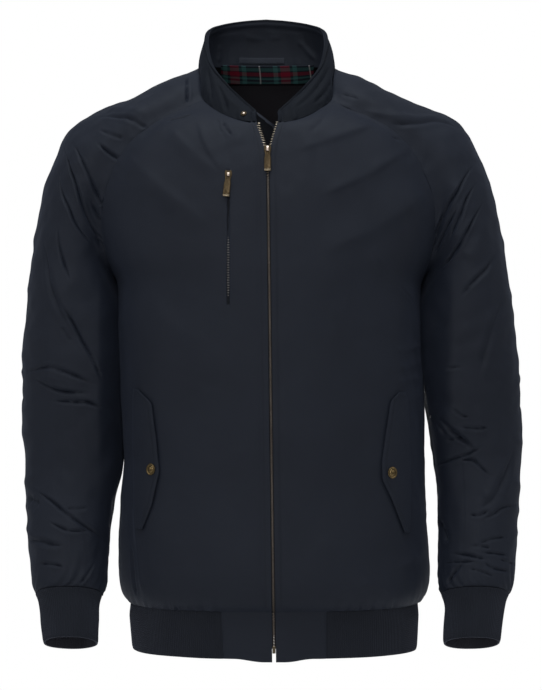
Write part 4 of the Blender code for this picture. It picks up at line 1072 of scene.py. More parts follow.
cuffRib = {
    "rings": rowsOf("z inRight outRight inLeft outLeft y front back tilt press", """
        -.6266 .2020 .2800 .1985 .2775 -.0522 .0330 .0320 22 0
        -.6380 .2048 .2755 .2010 .2725 -.0575 .0290 .0285 23 0
        -.6580 .2048 .2728 .1998 .2692 -.0665 .0270 .0265 23 0
        -.6810 .2050 .2700 .1995 .2650 -.0765 .0265 .0255 23 0"""),
    "wales": 84,
    "samples": 6,  # points across a wale
    "deep": 0.00045,
    "thick": 0.0022,
    "waves": ((0.03, 0.07), 0.0007),
    "topDip": (0.0, -0.0002, 0.003),  # where, how deep (below 0 a ridge) and how wide
    "lowDip": (0.0, 0.0008, 0.0022),
}
hemRib = {
    "rings": rowsOf("z right left front back", """
        -.6405 .1719 .1737 .1218 .1158
        -.6580 .1709 .1727 .1212 .1150
        -.6760 .1703 .1721 .1208 .1146
        -.6945 .1695 .1713 .1204 .1142"""),
    "tab": 0.0610,  # how far the tabs reach from the middle
    "droop": 0.0036,  # of the tabs beside the zip
    "edge": 0.0022,
    "wales": 330,
    "samples": 5,
    "deep": 0.00045,
    "thick": 0.0022,
    "waves": ((0.04, 0.12), 0.0006),
    "topDip": (0.0, 0.0003, 0.002),
    "lowDip": (0.0, 0.0008, 0.0022),
    "endDip": (0.0, 0.0010, 0.0020),
    "tabDip": (0.0, 0.0006, 0.0013),
    "tabStitch": (0.006, 0.0003, 0.0008),
    "tabPoints": (0.0007, 0.002, 0.01),
}


panels = {}
for name, (points, normals) in grids.items():
    kind = name.split("_")[0]
    cut = panelCut[kind]
    down, across = lengthsAlong(points, 0).mean(1), lengthsAlong(points, 1)
    wide = across[len(across) // 3:-4].mean(0)
    rowAt, columnAt = (spread(lengths, cut["fine"], cut["coarse"], cut["reach"], step=panelCut["step"])
                       for lengths in (down, wide))
    if name == "front_right":
        rows = resampled(points, rowAt, np.arange(points.shape[1]))
        columnAt = slotColumns(rows, columnAt, rows[:, points.shape[1] // 4, 2])
    p, n = resampled(points, rowAt, columnAt), unit(resampled(normals, rowAt, columnAt))
    panels[name] = {"points": p, "normals": n, **borders(p)}
print("panels", {name: g["points"].shape[:2] for name, g in panels.items()})


def overRib(kind, points):
    # 1 where the panel's lower edge meets rib, 0 where it meets the plain tabs beside the zip
    if kind != "front":
        return 1.0
    return smoothStep(np.abs(points[..., 0] - lean(-0.64)), hemRib["tab"] - 0.004, hemRib["tab"] + 0.006)


def boxShape(size, bevel=0.0):
    # points and faces of a box, its edges cut off by a share of its least size
    bm = bmesh.new()
    bmesh.ops.create_cube(bm, size=1.0, matrix=Matrix.Diagonal((*size, 1.0)))
    if bevel:
        bmesh.ops.bevel(bm, geom=list(bm.edges), offset=min(size) * bevel, segments=1, affect="EDGES")
    points = np.array([v.co for v in bm.verts])
    faces = [[v.index for v in f.verts] for f in bm.faces]
    bm.free()
    return points, faces


def copies(name, shape, frames, finish):
    # one mesh with a copy of the shape in each frame: an origin and three axes
    points, faces = shape
    allPoints = np.concatenate([origin + points @ np.array(axes) for origin, axes in frames])
    groups = []
    for size in sorted({len(f) for f in faces}):
        some = np.array([f for f in faces if len(f) == size])
        groups.append((np.concatenate([some + i * len(points) for i in range(len(frames))]), 0))
    made = meshOf(name, allPoints, groups)
    made.data.materials.append(finish)
    return made


stitchCut = {"pitch": 0.0030, "size": (0.0021, 0.00045, 0.0003), "gap": 0.00005, "reach": 0.0008}
seams = []  # lines of stitches: points and normals


def lineAt(points, normals, distance, value, rim=None, down=False):
    # the line on a grid where the distance has a value, one point a row (or a column), only within the rim
    values = [points, normals] + ([] if rim is None else [rim[..., None]])
    if not down:
        values, distance = [a.swapaxes(0, 1) for a in values], distance.swapaxes(0, 1)
    found = []
    for c in range(distance.shape[1]):
        order = np.argsort(distance[:, c])
        at = np.interp(value, distance[order, c], order)
        low = min(int(at), distance.shape[0] - 2)
        here = [mix(a[low, c], a[low + 1, c], at - low) for a in values]
        if rim is None or here[2][0] > value * 0.97:
            found.append(here[:2])
    return np.array([h[0] for h in found]), unit(np.array([h[1] for h in found]))


def sewSeams():
    frames, (long, wide, tall) = [], stitchCut["size"]
    for line, normal in seams:
        length = lengthsAlong(line[None], 1)[0]
        for at in np.arange(0.0016, length[-1] - 0.0014, stitchCut["pitch"]):
            before, middle, after = pointAt(line, length, at + np.array([-1, 0, 1]) * stitchCut["reach"])
            up, along = unit(pointAt(normal, length, at)), unit(after - before)
            axes = [along * long, unit(np.cross(up, along)) * wide, up * tall]
            frames.append((middle + up * stitchCut["gap"], axes))
    made = copies("stitches", boxShape((1, 1, 1)), frames, thread)
    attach(made, "jacket")
    print("stitches", count(made), "triangles")


def lowestNear(values, reach):
    # the lowest value within so many places, so that the coarse inner side never shows through the outer one
    for axis in (0, 1):
        padded = np.pad(values, [(reach, reach) if k == axis else (0, 0) for k in (0, 1)], mode="edge")
        size = values.shape[axis]
        shifted = [np.take(padded, range(k, k + size), axis=axis) for k in range(2 * reach + 1)]
        values = np.min(shifted, axis=0)
    return values


def tucked(name, p):
    # the side of the sleeve that lies against the body slips a little behind it
    cut, ease = sleeveTuck[name], sleeveTuck["ease"]
    beside = 1 - smoothStep(np.abs(p[..., 0]), cut["body"], cut["body"] + cut["width"])
    level = smoothStep(-p[..., 2], cut["top"], cut["top"] + ease)
    level = level * smoothStep(p[..., 2], -cut["low"] - ease, -cut["low"])
    return p + (beside * level)[..., None] * (0, sleeveTuck["back"], 0)


def finishPanels():
    for index, (name, g) in enumerate(panels.items()):
        kind = name.split("_")[0]
        cut, p = panelCut[kind], g["points"]
        calm = smoothStep(g["top"], 0.0, panelCut["calm"]) * smoothStep(g["low"], 0.0, panelCut["calm"])
        if kind == "sleeve":
            p = tucked(name, p)
        relief, slide = creaseRelief(name, p, cut["coarse"])
        relief *= smoothStep(nearest(g, "top", "low"), -0.002, 0.01)
        p = p + slide * (nearest(g, "top", "low", "left", "right") > 0.004)[..., None]
        relief += waves(p, index + 3, panelCut["waveLengths"], cut["waves"]) * calm
        relief += waves(p, index + 40, panelCut["rippleLengths"], cut["ripples"]) * calm
        relief += pucker(g["left"], g["low"], *cut["gathers"], index) * overRib(kind, p)
        for side in ("left", "right"):
            if kind == "front" and side == "left":
                relief += dip(g["left"], *panelCut["placketFold"])
                continue
            relief += dip(g[side], *panelCut["seamDip"])
            relief += pucker(g["top"], g[side], *panelCut["seamGathers"], index + 9)
        relief += dip(g["top"], *panelCut["neckDip"]) + dip(g["low"], *panelCut["lowDip"]) * overRib(kind, p)
        if kind == "front":
            hem = panelCut["hemGathers"]
            beside = dip(np.abs(p[..., 0]), hem["x"], -1, hem["half"])
            relief += pucker(g["left"], g["low"], *hem["size"], index + 60) * beside
        if name == "front_right":
            gap = np.abs(p[..., 0] - chestZip["x"])
            slot = dip(gap, *chestZip["lip"]) - chestZip["deep"] * (gap < chestZip["half"])
            relief += within(p[..., 2], *chestZip["z"], 0.001, 0.001) * slot
        outward = -sides[name.split("_")[1]] if kind == "sleeve" else np.sign(p[..., 0])
        facing, meet = smoothStep(g["normals"][..., 0] * outward, *shell["facing"]), shell["meet"]
        level = np.exp(-np.abs((p[..., 2] - meet["z"]) / meet["half"]) ** meet["sharp"])
        relief += meet[kind] * facing * level
        if kind != "sleeve":
            waist = shell["waist"]
            relief += dip(p[..., 2], waist["z"], waist["deep"], waist["half"]) * facing * (p[..., 0] < 0)
        g["shown"] = raised(p, g["normals"], relief)
        inner = raised(p, g["normals"], lowestNear(relief, panelCut["step"]) - shell["thick"])
        for edge, inward in ((0, 1), (-1, -2))[kind == "front":]:
            # the edges cross at a seam, each a little under the other
            past = unit(g["shown"][:, edge] - g["shown"][:, inward])
            g["shown"][:, edge] += past * shell["past"] - g["normals"][:, edge] * shell["past"] / 2
        for cells in (np.s_[[0, -1]], np.s_[:, [0, -1]]):
            inner[cells] = g["shown"][cells] - g["normals"][cells] * shell["thick"]
        made = skin(name, g["shown"], g["normals"], shell["thick"], shellCloth, liningCloth,
                    step=panelCut["step"], inner=inner)
        g["object"] = placed(made, "jacket", name)
        if kind == "front":
            line, normal = lineAt(g["shown"], g["normals"], g["left"], panelCut["placketStitch"])
            seams.append((line[8:-8], normal[8:-8]))
        print(name, count(made), "triangles")


finishPanels()
trees = {name: treeOf(g["shown"]) for name, g in panels.items()}


def wale(phase):
    return np.abs(np.sin(np.pi * phase)) ** 0.7


def ribRelief(cut, grid, far, seed):
    wales = wale(np.arange(grid.shape[1]) / cut["samples"])[None] - 0.6
    relief = cut["deep"] * wales + waves(grid, seed, *cut["waves"]) * smoothStep(far["top"], 0, 0.02)
    return relief + dip(far["low"], *cut["lowDip"]) + dip(far["top"], *cut["topDip"])


def makeCuff(side):
    mirror, turns = sides[side], 64
    total = cuffRib["wales"] * cuffRib["samples"]
    rings = []
    for ring in cuffRib["rings"]:
        found = [tubePoint(ring, side, t if t <= 1 else t - 2) for t in np.arange(turns) * 2 / turns]
        rings.append([leaned((p.x * mirror, p.y, p.z)) for p in found])
    coarse = np.array(rings)
    coarse = np.concatenate([coarse, coarse[:, :1]], axis=1)
    rowAt = spread(np.linspace(0, 1, 4), 0.012, 0.07, 0.15)
    grid = resampled(coarse, rowAt, np.linspace(0, turns, total, endpoint=False))
    normals = gridNormals(grid, grid - grid.mean(1, keepdims=True), True)
    far = borders(grid)
    shown = raised(grid, normals, ribRelief(cuffRib, grid, far, 70 if side == "left" else 71))
    uv = np.stack([np.broadcast_to(np.arange(total) / total * 0.21, far["top"].shape), -far["top"]], -1)
    # the inner face takes the painted light of the rib's inside
    made = skin("cuff_" + side, shown, normals, cuffRib["thick"] - 0.0004, ribKnit, ribInsidePaintedLight,
                closed=True, uv=uv)
    placed(made, "jacket", "cuff_" + side)
    return made


def hemPoint(ring, share, back):
    depth = ring["back"] if back else -ring["front"]
    half = ring["right"] if share < 0 else ring["left"]
    return leaned((half * share, depth * (1 - around(abs(share), shell["squareness"])), ring["z"]))


def hemRows(shares, rings):
    return np.array([[hemPoint(ring, share, back) for share, back in shares] for ring in rings])


def sewnTo(edge, grid, reach):
    # the top row follows the edge it is sewn to, a little inside it, and the rows below ease back
    top = grid[0]
    shift = edge[((top[:, None] - edge) ** 2).sum(-1).argmin(1)] - top
    weights = np.hanning(41)[1:-1]
    padded = np.pad(shift, ((len(weights) // 2,) * 2, (0, 0)), mode="edge")
    shift = np.stack([np.convolve(padded[:, k], weights / weights.sum(), "valid") for k in range(3)], -1)
    shift += (0, 0, 0.0008) - unit(top * (1, 1, 0)) * 0.0006
    return grid + shift * (1 - smoothStep(lengthsAlong(grid, 0), 0, reach))[..., None]


def makeHem():
    tab = hemRib["tab"] / hemRib["rings"][0]["left"]
    turns = np.linspace(math.asin(tab - 0.007), math.pi / 2, 60)
    half = [(math.sin(t), False) for t in turns]
    half += [(math.cos(t), True) for t in np.linspace(0, math.pi / 2, 61)[1:]]
    loop = [(-s, b) for s, b in half] + [(s, b) for s, b in half[-2::-1]]
    coarse = hemRows(loop, hemRib["rings"])
    total = hemRib["wales"] * hemRib["samples"] + 1
    total += (total + 1) % 2
    length = lengthsAlong(coarse, 1)[0]
    columnAt = positionsFor(np.linspace(0, length[-1], total), length)
    rowAt = spread(np.linspace(0, 1, 4), 0.02, 0.09, 0.2)
    grid = resampled(coarse, rowAt, columnAt)
    edge = np.concatenate([panels[name]["shown"][-1] for name in ("front_right", "front_left", "back")])
    grid = sewnTo(edge, grid, 0.016)
    normals, far = gridNormals(grid, grid * (1, 1, 0)), borders(grid)
    relief = ribRelief(hemRib, grid, far, 90) + dip(nearest(far, "left", "right"), *hemRib["endDip"])
    made = skin("hem_rib", raised(grid, normals, relief), normals, hemRib["thick"] - 0.0004, ribKnit)
    placed(made, "jacket", "hem_rib")
    for side in sides:
        makeTab(side, tab)
    print("rib", count(made), "triangles")


def makeTab(side, tab):
    first = hemRib["edge"] / hemRib["rings"][0]["left"]
    rings = [dict(ring, z=ring["z"] + 0.0007 * (i == 0)) for i, ring in enumerate(hemRib["rings"])]
    coarse = hemRows([(mix(first, tab, i / 12) * sides[side], False) for i in range(13)], rings)
    wide, tall = lengthsAlong(coarse, 1)[0], lengthsAlong(coarse, 0)[:, 0]
    grid = resampled(coarse, spread(tall, *hemRib["tabPoints"]), spread(wide, *hemRib["tabPoints"]))
    normals, far = gridNormals(grid, grid * (1, 1, 0)), borders(grid)
    near = smoothStep(-np.abs(grid[..., 0] - lean(-0.69)), -0.046, -0.012)
    grid[..., 2] -= hemRib["droop"] * near * (far["top"] / far["top"][-1:]) ** 1.5
    relief = waves(grid, 95, (0.02, 0.06), 0.0003) * smoothStep(far["top"], 0, 0.01)
    relief += dip(far["right"], *hemRib["tabDip"]) + dip(far["low"], *hemRib["tabDip"])
    relief += dip(far["low"], *hemRib["tabStitch"])
    made = skin("hem_tab_" + side, raised(grid, normals, relief), normals, hemRib["thick"], shellCloth)
    placed(made, "jacket", "hem_tab_" + side)


for side in sides:
    print("cuff", side, count(makeCuff(side)), "triangles")
makeHem()


collarCut = {
    "top": rowsOf("x y z", """
        .0115 -.082 -.0600
        .0330 -.073 -.0390
        .0480 -.060 -.0220
        .0630 -.043 -.0010
        .0690 -.022 .0180
        .0720 .002 .0350
        .0695 .040 .0520
        .0560 .068 .0610
        .0290 .082 .0670
        .0000 .086 .0695"""),
    "lift": -0.0006,
    "crown": 0.0035,  # how far it bulges outwards between its edges
    "thick": 0.0012,
    "apart": 0.00195,  # from the outer collar's face to the inner one's
    "stitch": 0.0055,
    # dips and ridges along the edge: the third of the outer ones is its roll
    "outer": ((0.0, 0.0008, 0.0012), (0.0055, 0.0013, 0.0011), (0.0026, -0.0013, 0.0015)),
    "inner": ((0.0, -0.0006, 0.0012), (0.0055, -0.0003, 0.0010)),
    "join": (0.0115, -0.0007, 0.0014),  # of the inner collar and its facing
    "gathers": (0.012, 0.0008, 0.014),
}


def makeCollar():
    tops = [Vector((r["x"], r["y"], r["z"])) for r in collarCut["top"]]
    stations = list(np.linspace(0, len(tops) - 1, 46))
    columns = [(1.0, at) for at in stations] + [(-1.0, at) for at in stations[-2::-1]]
    rows = []
    for height in np.linspace(1, 0, 9):
        row = []
        for mirror, at in columns:
            base, top = neckPoint(at), catmull(tops, at)
            out = Vector((base.x, base.y, 0)).normalized()
            point = base + (top - base).normalized() * collarCut["lift"] + (top - base) * height
            point += out * collarCut["crown"] * math.sin(math.pi * height)
            row.append(leaned((point.x * mirror, point.y, point.z)))
        rows.append(row)
    coarse = np.array(rows)
    wide, tall = lengthsAlong(coarse, 1)[4], lengthsAlong(coarse, 0).mean(1)
    grid = resampled(coarse, spread(tall, 0.0006, 0.0018, 0.010), spread(wide, 0.0007, 0.0019, 0.010))
    normals = gridNormals(grid, grid * (1, 1, 0))
    far = borders(grid)
    edge = nearest(far, "top", "left", "right")
    outerRelief = waves(grid, 11, (0.03, 0.08), 0.0005) * smoothStep(edge, 0, 0.01)
    outerRelief += sum(dip(edge, *size) for size in collarCut["outer"])
    outerRelief += pucker(far["left"], far["low"], *collarCut["gathers"], 5)
    baseTrees["collar_outer"] = treeOf(grid)
    outerRelief += creaseRelief("collar_outer", grid)[0] * smoothStep(edge, 0.0, 0.004)
    shown = raised(grid, normals, outerRelief)
    outer = skin("collar_outer", shown, normals, collarCut["thick"], collarShadedCloth, roundness=0.0004)
    for name in ("top", "left", "right"):
        seams.append(lineAt(shown, normals, far[name], collarCut["stitch"], edge, name == "top"))
    placed(outer, "jacket", "collar_outer")
    inside = grid - normals * collarCut["apart"]
    up = unit(inside[:-1] - inside[1:])
    back = smoothStep(grid[-1, :, 1], -0.06, 0.0)
    lift = np.where(grid[-1, :, 1] < -0.085, 0.0024, mix(0.0010, -0.0034, back))
    inside[-1] += up[-1] * lift[:, None]
    relief = waves(inside, 12, (0.02, 0.07), 0.0006) * smoothStep(edge, 0, 0.02)
    relief += sum(dip(edge, *size) for size in collarCut["inner"])
    relief += dip(far["top"], *collarCut["join"]) * smoothStep(inside[..., 1], -0.02, 0.03)
    baseTrees["collar_inner"] = treeOf(inside)
    relief -= creaseRelief("collar_inner", inside)[0] * smoothStep(edge, 0.0, 0.006)
    relief = np.minimum(relief, lowestNear(outerRelief, 1) + 0.0004)  # it keeps clear of the outer one
    innerOut = raised(inside, normals, relief)
    inner = skin("collar_inner", innerOut, normals, collarCut["thick"], collarLining,
                 roundness=0.0004, step=1)
    placed(inner, "jacket", "collar_inner")
    print("collar", count(outer, inner), "triangles")
    return shown, treeOf(innerOut - normals * collarCut["thick"])


collarGrid, collarTree = makeCollar()


def checkFinish():
    # stripes of a traditional check: the same set lengthwise and crosswise, woven through each other
    made, tree, shader = newFinish("neck_check", (0.03, 0.05, 0.06))
    coords = node(tree, "TexCoord")
    parts = node(tree, "SeparateXYZ", [(0, coords.outputs["UV"])])
    navy, red = (0.012, 0.016, 0.024, 1), (0.185, 0.008, 0.024, 1)
    teal, pale = (0.040, 0.120, 0.116, 1), (0.45, 0.42, 0.42, 1)
    lengthwise = [(0.0, red), (0.09, navy), (0.145, teal), (0.235, navy), (0.487, pale), (0.513, navy),
                  (0.765, teal), (0.855, navy), (0.91, red)]
    crosswise = [(0.0, navy), (0.12, teal), (0.36, navy), (0.45, red), (0.72, navy),
                 (0.83, teal), (0.97, navy)]
    colours = []
    for axis, offset, repeat, sett in ((0, checkCut["start"], checkCut["repeat"][0], lengthwise),
                                       (1, checkCut["repeat"][1], checkCut["repeat"][1], crosswise[::-1])):
        share = maths(tree, "DIVIDE", maths(tree, "ADD", parts.outputs[axis], in_1=offset), in_1=repeat)
        ramp = node(tree, "ValToRGB", [(0, maths(tree, "FRACT", share))])
        ramp.color_ramp.interpolation = "CONSTANT"
        items = ramp.color_ramp.elements
        items.remove(items[1])
        if axis:  # counted upwards from the lower edge
            sett = [(0.0, navy)] + [(1 - at, sett[i + 1][1]) for i, (at, _) in enumerate(sett[:-1])]
        items[0].position, items[0].color = sett[0]
        for at, colour in sett[1:]:
            items.new(at).color = colour
        colours.append(ramp.outputs[0])
    slant = maths(tree, "ADD", parts.outputs[0], parts.outputs[1])
    wave = maths(tree, "SINE", maths(tree, "MULTIPLY", slant, in_1=2 * math.pi * checkCut["twill"]))
    share = node(tree, "MapRange", [(0, wave)], in_1=-1.0, in_2=1.0, in_3=0.35, in_4=0.65)
    woven = node(tree, "Mix", [(0, share.outputs[0]), (6, colours[0]), (7, colours[1])], data_type="RGBA")
    tree.links.new(woven.outputs[2], shader.inputs["Base Color"])
    setInputs(shader, {"Roughness": 0.85, "Specular IOR Level": 0.2})
    return made


checkCut = {"x": (-0.0620, 0.0530), "z": (0.0112, -0.0090), "start": 0.0451, "repeat": (0.0628, 0.0190),
            "twill": 900}
loopCut = {"x": (-0.0390, 0.0165), "z": (0.0210, 0.0136)}
facingCut = {"x": (0.0700, 0.0980), "z": (-0.0118, -0.1080)}
neckCheck = checkFinish()


def insideBack(name, trees, ends, z, heights, finish, size, relief):
    # a strip against the inner face of the back, its shown face towards the neck; ends: those of the top row
    # and the lowest; heights: its gap and its thickness; size: rows and columns
    (top, low), (lift, thick), (rows, columns) = ends, heights, size
    grid = np.zeros((rows + 1, columns + 1, 3))
    for r in range(rows + 1):
        s = r / rows
        level = mix(z[0], z[1], s)
        for c in range(columns + 1):
            x = mix(mix(top[0], low[0], s), mix(top[1], low[1], s), c / columns)
            hits = [tree.ray_cast(Vector((x, 0, level)), Vector((0, 1, 0)))[0] for tree in trees]
            grid[r, c] = min([hit for hit in hits if hit is not None], key=lambda hit: hit.y)
    share = np.linspace(0, 1, rows + 1)[:, None]
    flat = mix(grid[0, :, 1], grid[-1, :, 1], share)  # flat from edge to edge, in front of what it covers
    grid[..., 1] = flat - np.maximum(0, (flat - grid[..., 1]).max(0))
    normals = gridNormals(grid, (0, -1, 0))
    shown = grid + normals * (lift + thick)
    shown = raised(shown, normals, relief(shown))
    return skin(name, shown, normals, thick, finish, roundness=0.0002)


def stripRelief(p):
    edge = nearest(borders(p), "top", "low", "left", "right")
    return dip(edge, 0.0, 0.0003, 0.0008) + waves(p, 21, (0.015, 0.05), 0.00018)


neckTape = insideBack("neck_tape", [trees["back"], collarTree], [checkCut["x"]] * 2, checkCut["z"],
                      (0.0016, 0.0010), neckCheck, (14, 80), stripRelief)
placed(neckTape, "jacket", "neck_tape")
neckLoop = insideBack("neck_loop", [collarTree], [loopCut["x"]] * 2, loopCut["z"],
                      (0.0003, 0.0009), shellCloth, (8, 40), stripRelief)
placed(neckLoop, "jacket", "neck_loop")
wide, low = facingCut["x"]
facing = insideBack("neck_facing", [trees["back"]], [(-wide, wide), (-low, low)], facingCut["z"],
                    (0.0016, 0.0010), facingCloth, (40, 60), lambda p: waves(p, 22, (0.03, 0.08), 0.0003))
placed(facing, "jacket", "neck_facing")
print("neck strips", count(neckTape, neckLoop, facing), "triangles")


frontZip = {
    "slider": Vector((-0.003928, -0.121065, -0.1072)),
    "tilt": math.radians(-14.9023),
    "shut": (0.101, 0.108),  # the teeth come together over this depth
    "tape": (-0.0016, -0.0008, 0.0, 0.003, 0.0094),  # places across it, from its bead
    "tapeBehind": 0.0019,
    "tapeThick": 0.0010,
    "pitch": 0.0033,
    "tooth": (0.0046, 0.0017, 0.0011),
    "first": {"right": 0.0062, "left": 0.0012},
    "open": {"right": 1, "left": 0.66},  # how much of a tooth's width shows
    "meshed": 0.48,  # and how much once the rows are together
    "sunk": (0.0006, 0.0017),  # below the cloth's face: open, shut
    "aside": (0.0008, 0.0010),  # from its edge
    "topStop": {"above": 0.0032, "size": (0.5, 1.1, 1.8)},  # its size in teeth
    "stop": Vector((0.003442, -0.1208, -0.6835)),
    "stopSize": (0.0036, 0.0026, 0.0085),
}
windFlap = {
    "bound": 0.0028,  # the bound edge has the shell's cloth; the rest of the flap is painted near black as painted shade
    "rows": rowsOf("attached free y", """
        -.0590 -.0800 -.0745
        -.0640 -.0840 -.0830
        -.0720 -.0890 -.0955
        -.0830 -.0950 -.1040"""),
    "x": (-0.0140, 0.0130),
    "behind": 0.0068,
    "roll": (0.0, -0.0008, 0.0013),  # of its upper edge
    "stitch": (0.0036, 0.0005, 0.0010),
}


def frontEdge(side):
    # the free front edge of the shown front with the way across the cloth and its normal, every 3 mm or so
    g = panels["front_" + side]
    line, normal = g["shown"][:, 0], g["normals"][:, 0]
    across = unit(g["shown"][:, 4] - g["shown"][:, 0])
    length = lengthsAlong(line[None], 1)[0]
    at = np.linspace(0, length[-1], 190)
    return pointAt(line, length, at), pointAt(across, length, at), unit(pointAt(normal, length, at))


def zipLine(side):
    # where the tape's edge bead runs, from the neck to the hem, with the way across and the normal
    line, across, normal = frontEdge(side)
    mirror = sides[side]
    rings = hemRib["rings"]
    for z in np.linspace(rings[0]["z"] - 0.002, rings[-1]["z"] + 0.012, 14):
        front = np.interp(-z, [-r["z"] for r in rings], [r["front"] for r in rings])
        line = np.vstack([line, [lean(z) + hemRib["edge"] * mirror, -front, z]])
        across = np.vstack([across, [mirror, 0, 0]])
        normal = np.vstack([normal, [0, -1, 0]])
    return line, across, normal


def makeTapes():
    made = []
    for side in sides:
        line, across, normal = (values[3:] for values in zipLine(side))
        behind = line - normal * frontZip["tapeBehind"]
        grid = np.stack([behind + across * d for d in frontZip["tape"]], 1)
        if len(grid) % 2 == 0:
            grid = grid[:-1]
        normals = np.repeat(normal[:len(grid), None], grid.shape[1], axis=1)
        piece = skin("zip_tape_" + side, grid, normals, frontZip["tapeThick"], zipTape)
        placed(piece, "jacket", "zip_tape_" + side)
        made.append(piece)
    return made


def makeTeeth():
    frames = [], []
    for side, mirror in sides.items():
        lines = zipLine(side)
        length = lengthsAlong(lines[0][None], 1)[0]
        first = frontZip["first"][side]
        for at in np.arange(first, length[-1] - 0.002, frontZip["pitch"]):
            origin, way, up = (pointAt(line, length, at) for line in lines)
            way, up = unit(way), unit(up)
            shut = smoothStep(-origin[2], *frontZip["shut"])
            centre = origin - up * mix(*frontZip["sunk"], shut) - way * mix(*frontZip["aside"], shut)
            if shut > 0.5:
                centre[0] = mix(centre[0], lean(centre[2]) + mirror * 0.0004, shut)
            along = unit(np.cross(up, way))
            wide = mix(frontZip["open"][side], frontZip["meshed"], shut)
            frames[int(shut > 0.5)].append((centre, [way * wide, up, along * mix(1, 1.2, shut)]))
            if at == first:  # the stop at the top of the row
                stop = frontZip["topStop"]
                axes = [axis * size for axis, size in zip((way, up, along), stop["size"])]
                frames[0].append((centre - along * stop["above"], axes))
    made = []
    # the closed teeth take the painted shade of the darker brass
    for name, some, finish in (("open_teeth", frames[0], toothBrass), ("shut_teeth", frames[1], shadedToothBrass)):
        made.append(copies(name, boxShape(frontZip["tooth"], 0.22), some, finish))
        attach(made[-1], "jacket")
    return made


def plate(name, outline, thickness, finish, bevel, segments=2, holes=()):
    # a plate whose outline lies in x, z round the axis, its middle at y = 0, with bevelled edges
    bm = bmesh.new()
    face = bm.faces.new([bm.verts.new((x, -thickness / 2, z)) for x, z in outline])
    grown = bmesh.ops.extrude_face_region(bm, geom=[face])
    verts = [v for v in grown["geom"] if isinstance(v, bmesh.types.BMVert)]
    bmesh.ops.translate(bm, verts=verts, vec=(0, thickness, 0))
    bmesh.ops.recalc_face_normals(bm, faces=bm.faces)
    made = addObject(name, meshFrom(name, bm, finish))
    for size, at in holes:
        cutter = boxAt(name + "_hole", size, at, finish)
        cut = made.modifiers.new("Hole", "BOOLEAN")
        cut.operation, cut.object, cut.solver = "DIFFERENCE", cutter, "EXACT"
        bakeModifiers(made)
        bpy.data.objects.remove(cutter)
    return bevelled(made, bevel, segments, 35)


def bakeModifiers(obj):
    bpy.context.view_layer.update()
    mesh = bpy.data.meshes.new_from_object(obj.evaluated_get(bpy.context.evaluated_depsgraph_get()))
    obj.modifiers.clear()
    obj.data = mesh


def bevelled(obj, width, segments=2, limit=30):
    edge = obj.modifiers.new("Edge", "BEVEL")
    edge.width, edge.segments = width, segments
    edge.limit_method, edge.angle_limit = "ANGLE", math.radians(limit)
    bakeModifiers(obj)
    return obj


def boxAt(name, size, centre, finish):
    bm = bmesh.new()
    bmesh.ops.create_cube(bm, size=1.0, matrix=Matrix.Translation(centre) @ Matrix.Diagonal((*size, 1.0)))
    return addObject(name, meshFrom(name, bm, finish))


def joined(name, parts):
    points, groups, offset, finishes = [], {}, 0, []
    for part in parts:
        finish = part.data.materials[0]
        if finish not in finishes:
            finishes.append(finish)
        part.data.transform(part.matrix_basis)
        points += [tuple(v.co) for v in part.data.vertices]
        for poly in part.data.polygons:
            key = len(poly.vertices), finishes.index(finish)
            groups.setdefault(key, []).append([offset + i for i in poly.vertices])
        offset += len(part.data.vertices)
    for part in parts:
        bpy.data.objects.remove(part)
    faces = [(np.array(some), slot) for (_, slot), some in groups.items()]
    made = meshOf(name, points, faces)
    made.data.set_sharp_from_angle(angle=math.radians(32))
    for finish in finishes:
        made.data.materials.append(finish)
    return made


def hoopOutline(inner, outer, foot):
    # half a ring with two straight feet
    angles = [math.pi * i / 12 for i in range(13)]
    ring = [(outer * math.cos(a), -outer * math.sin(a)) for a in angles] + [(-outer, foot), (-inner, foot)]
    ring += [(-inner * math.cos(a), -inner * math.sin(a)) for a in angles] + [(inner, foot), (outer, foot)]
    return ring


sliderCut = {
    "width": 0.0084,
    "length": 0.0118,
    "outline": ((1, 0.15), (0.97, 0.7), (0.72, 1), (0.2, 0.82)),  # upper right quarter, in halves of the size
    "foot": ((0.94, -0.2), (0.55, -0.97)),  # and the lower right
    "plate": 0.0013,
    "between": 0.0038,  # the two plates
    "bridgeWidth": 0.0028,
    "bridgeInner": 0.00125,
    "bridgeOuter": 0.00225,
    "bridgeTall": (1.3, 2.2),  # the chest zip's, the front zip's
}
pullCut = {"width": 0.0078, "eye": 0.0064, "length": 0.0260, "thick": 0.0012, "bar": 0.0007, "slot": 0.0056,
           "slotWidth": 0.0034}


def makeSlider(name, place, tilt, backed):
    cut = sliderCut
    half, top, front = cut["width"] / 2, cut["length"] / 2, cut["bridgeInner"]
    upper, foot = cut["outline"], cut["foot"]
    outline = [(-1, upper[0][1])] + [(-x, z) for x, z in foot] + [(x, z) for x, z in foot[::-1]]
    outline += list(upper) + [(-x, z) for x, z in upper[:0:-1]]
    outline = [(x * half, z * top) for x, z in outline]
    parts = [plate(name + "_face", outline, cut["plate"], tabBrass, 0.00035, 3)]
    parts[0].location.y = front + cut["plate"] / 2
    if backed:
        parts.append(plate(name + "_under", outline, cut["plate"], tabBrass, 0.0003))
        parts[-1].location.y = front + cut["plate"] * 1.5 + cut["between"]
        middle = front + cut["plate"] + cut["between"] / 2
        size = (0.0016, cut["between"] + 0.001, 0.0020)
        parts.append(boxAt(name + "_post", size, (0, middle, top - 0.0022), brass))  # joins the plates
    arch = [(z * (cut["bridgeTall"][backed] if z > 0 else 1), y)
            for z, y in hoopOutline(cut["bridgeInner"], cut["bridgeOuter"], front + cut["plate"] / 2)]
    # the bridge is painted pale, a painted reflection
    hoop = plate(name + "_hoop", arch, cut["bridgeWidth"], highlightBrass, 0.0003)
    turned = Matrix(((0, 1, 0, 0), (0, 0, 1, 0), (1, 0, 0, 0), (0, 0, 0, 1)))  # its hole points sideways
    hoop.data.transform(turned)
    made = joined(name, parts + [hoop])
    made.matrix_world = Matrix.Translation(place) @ Matrix.Rotation(tilt, 4, "X")
    return made


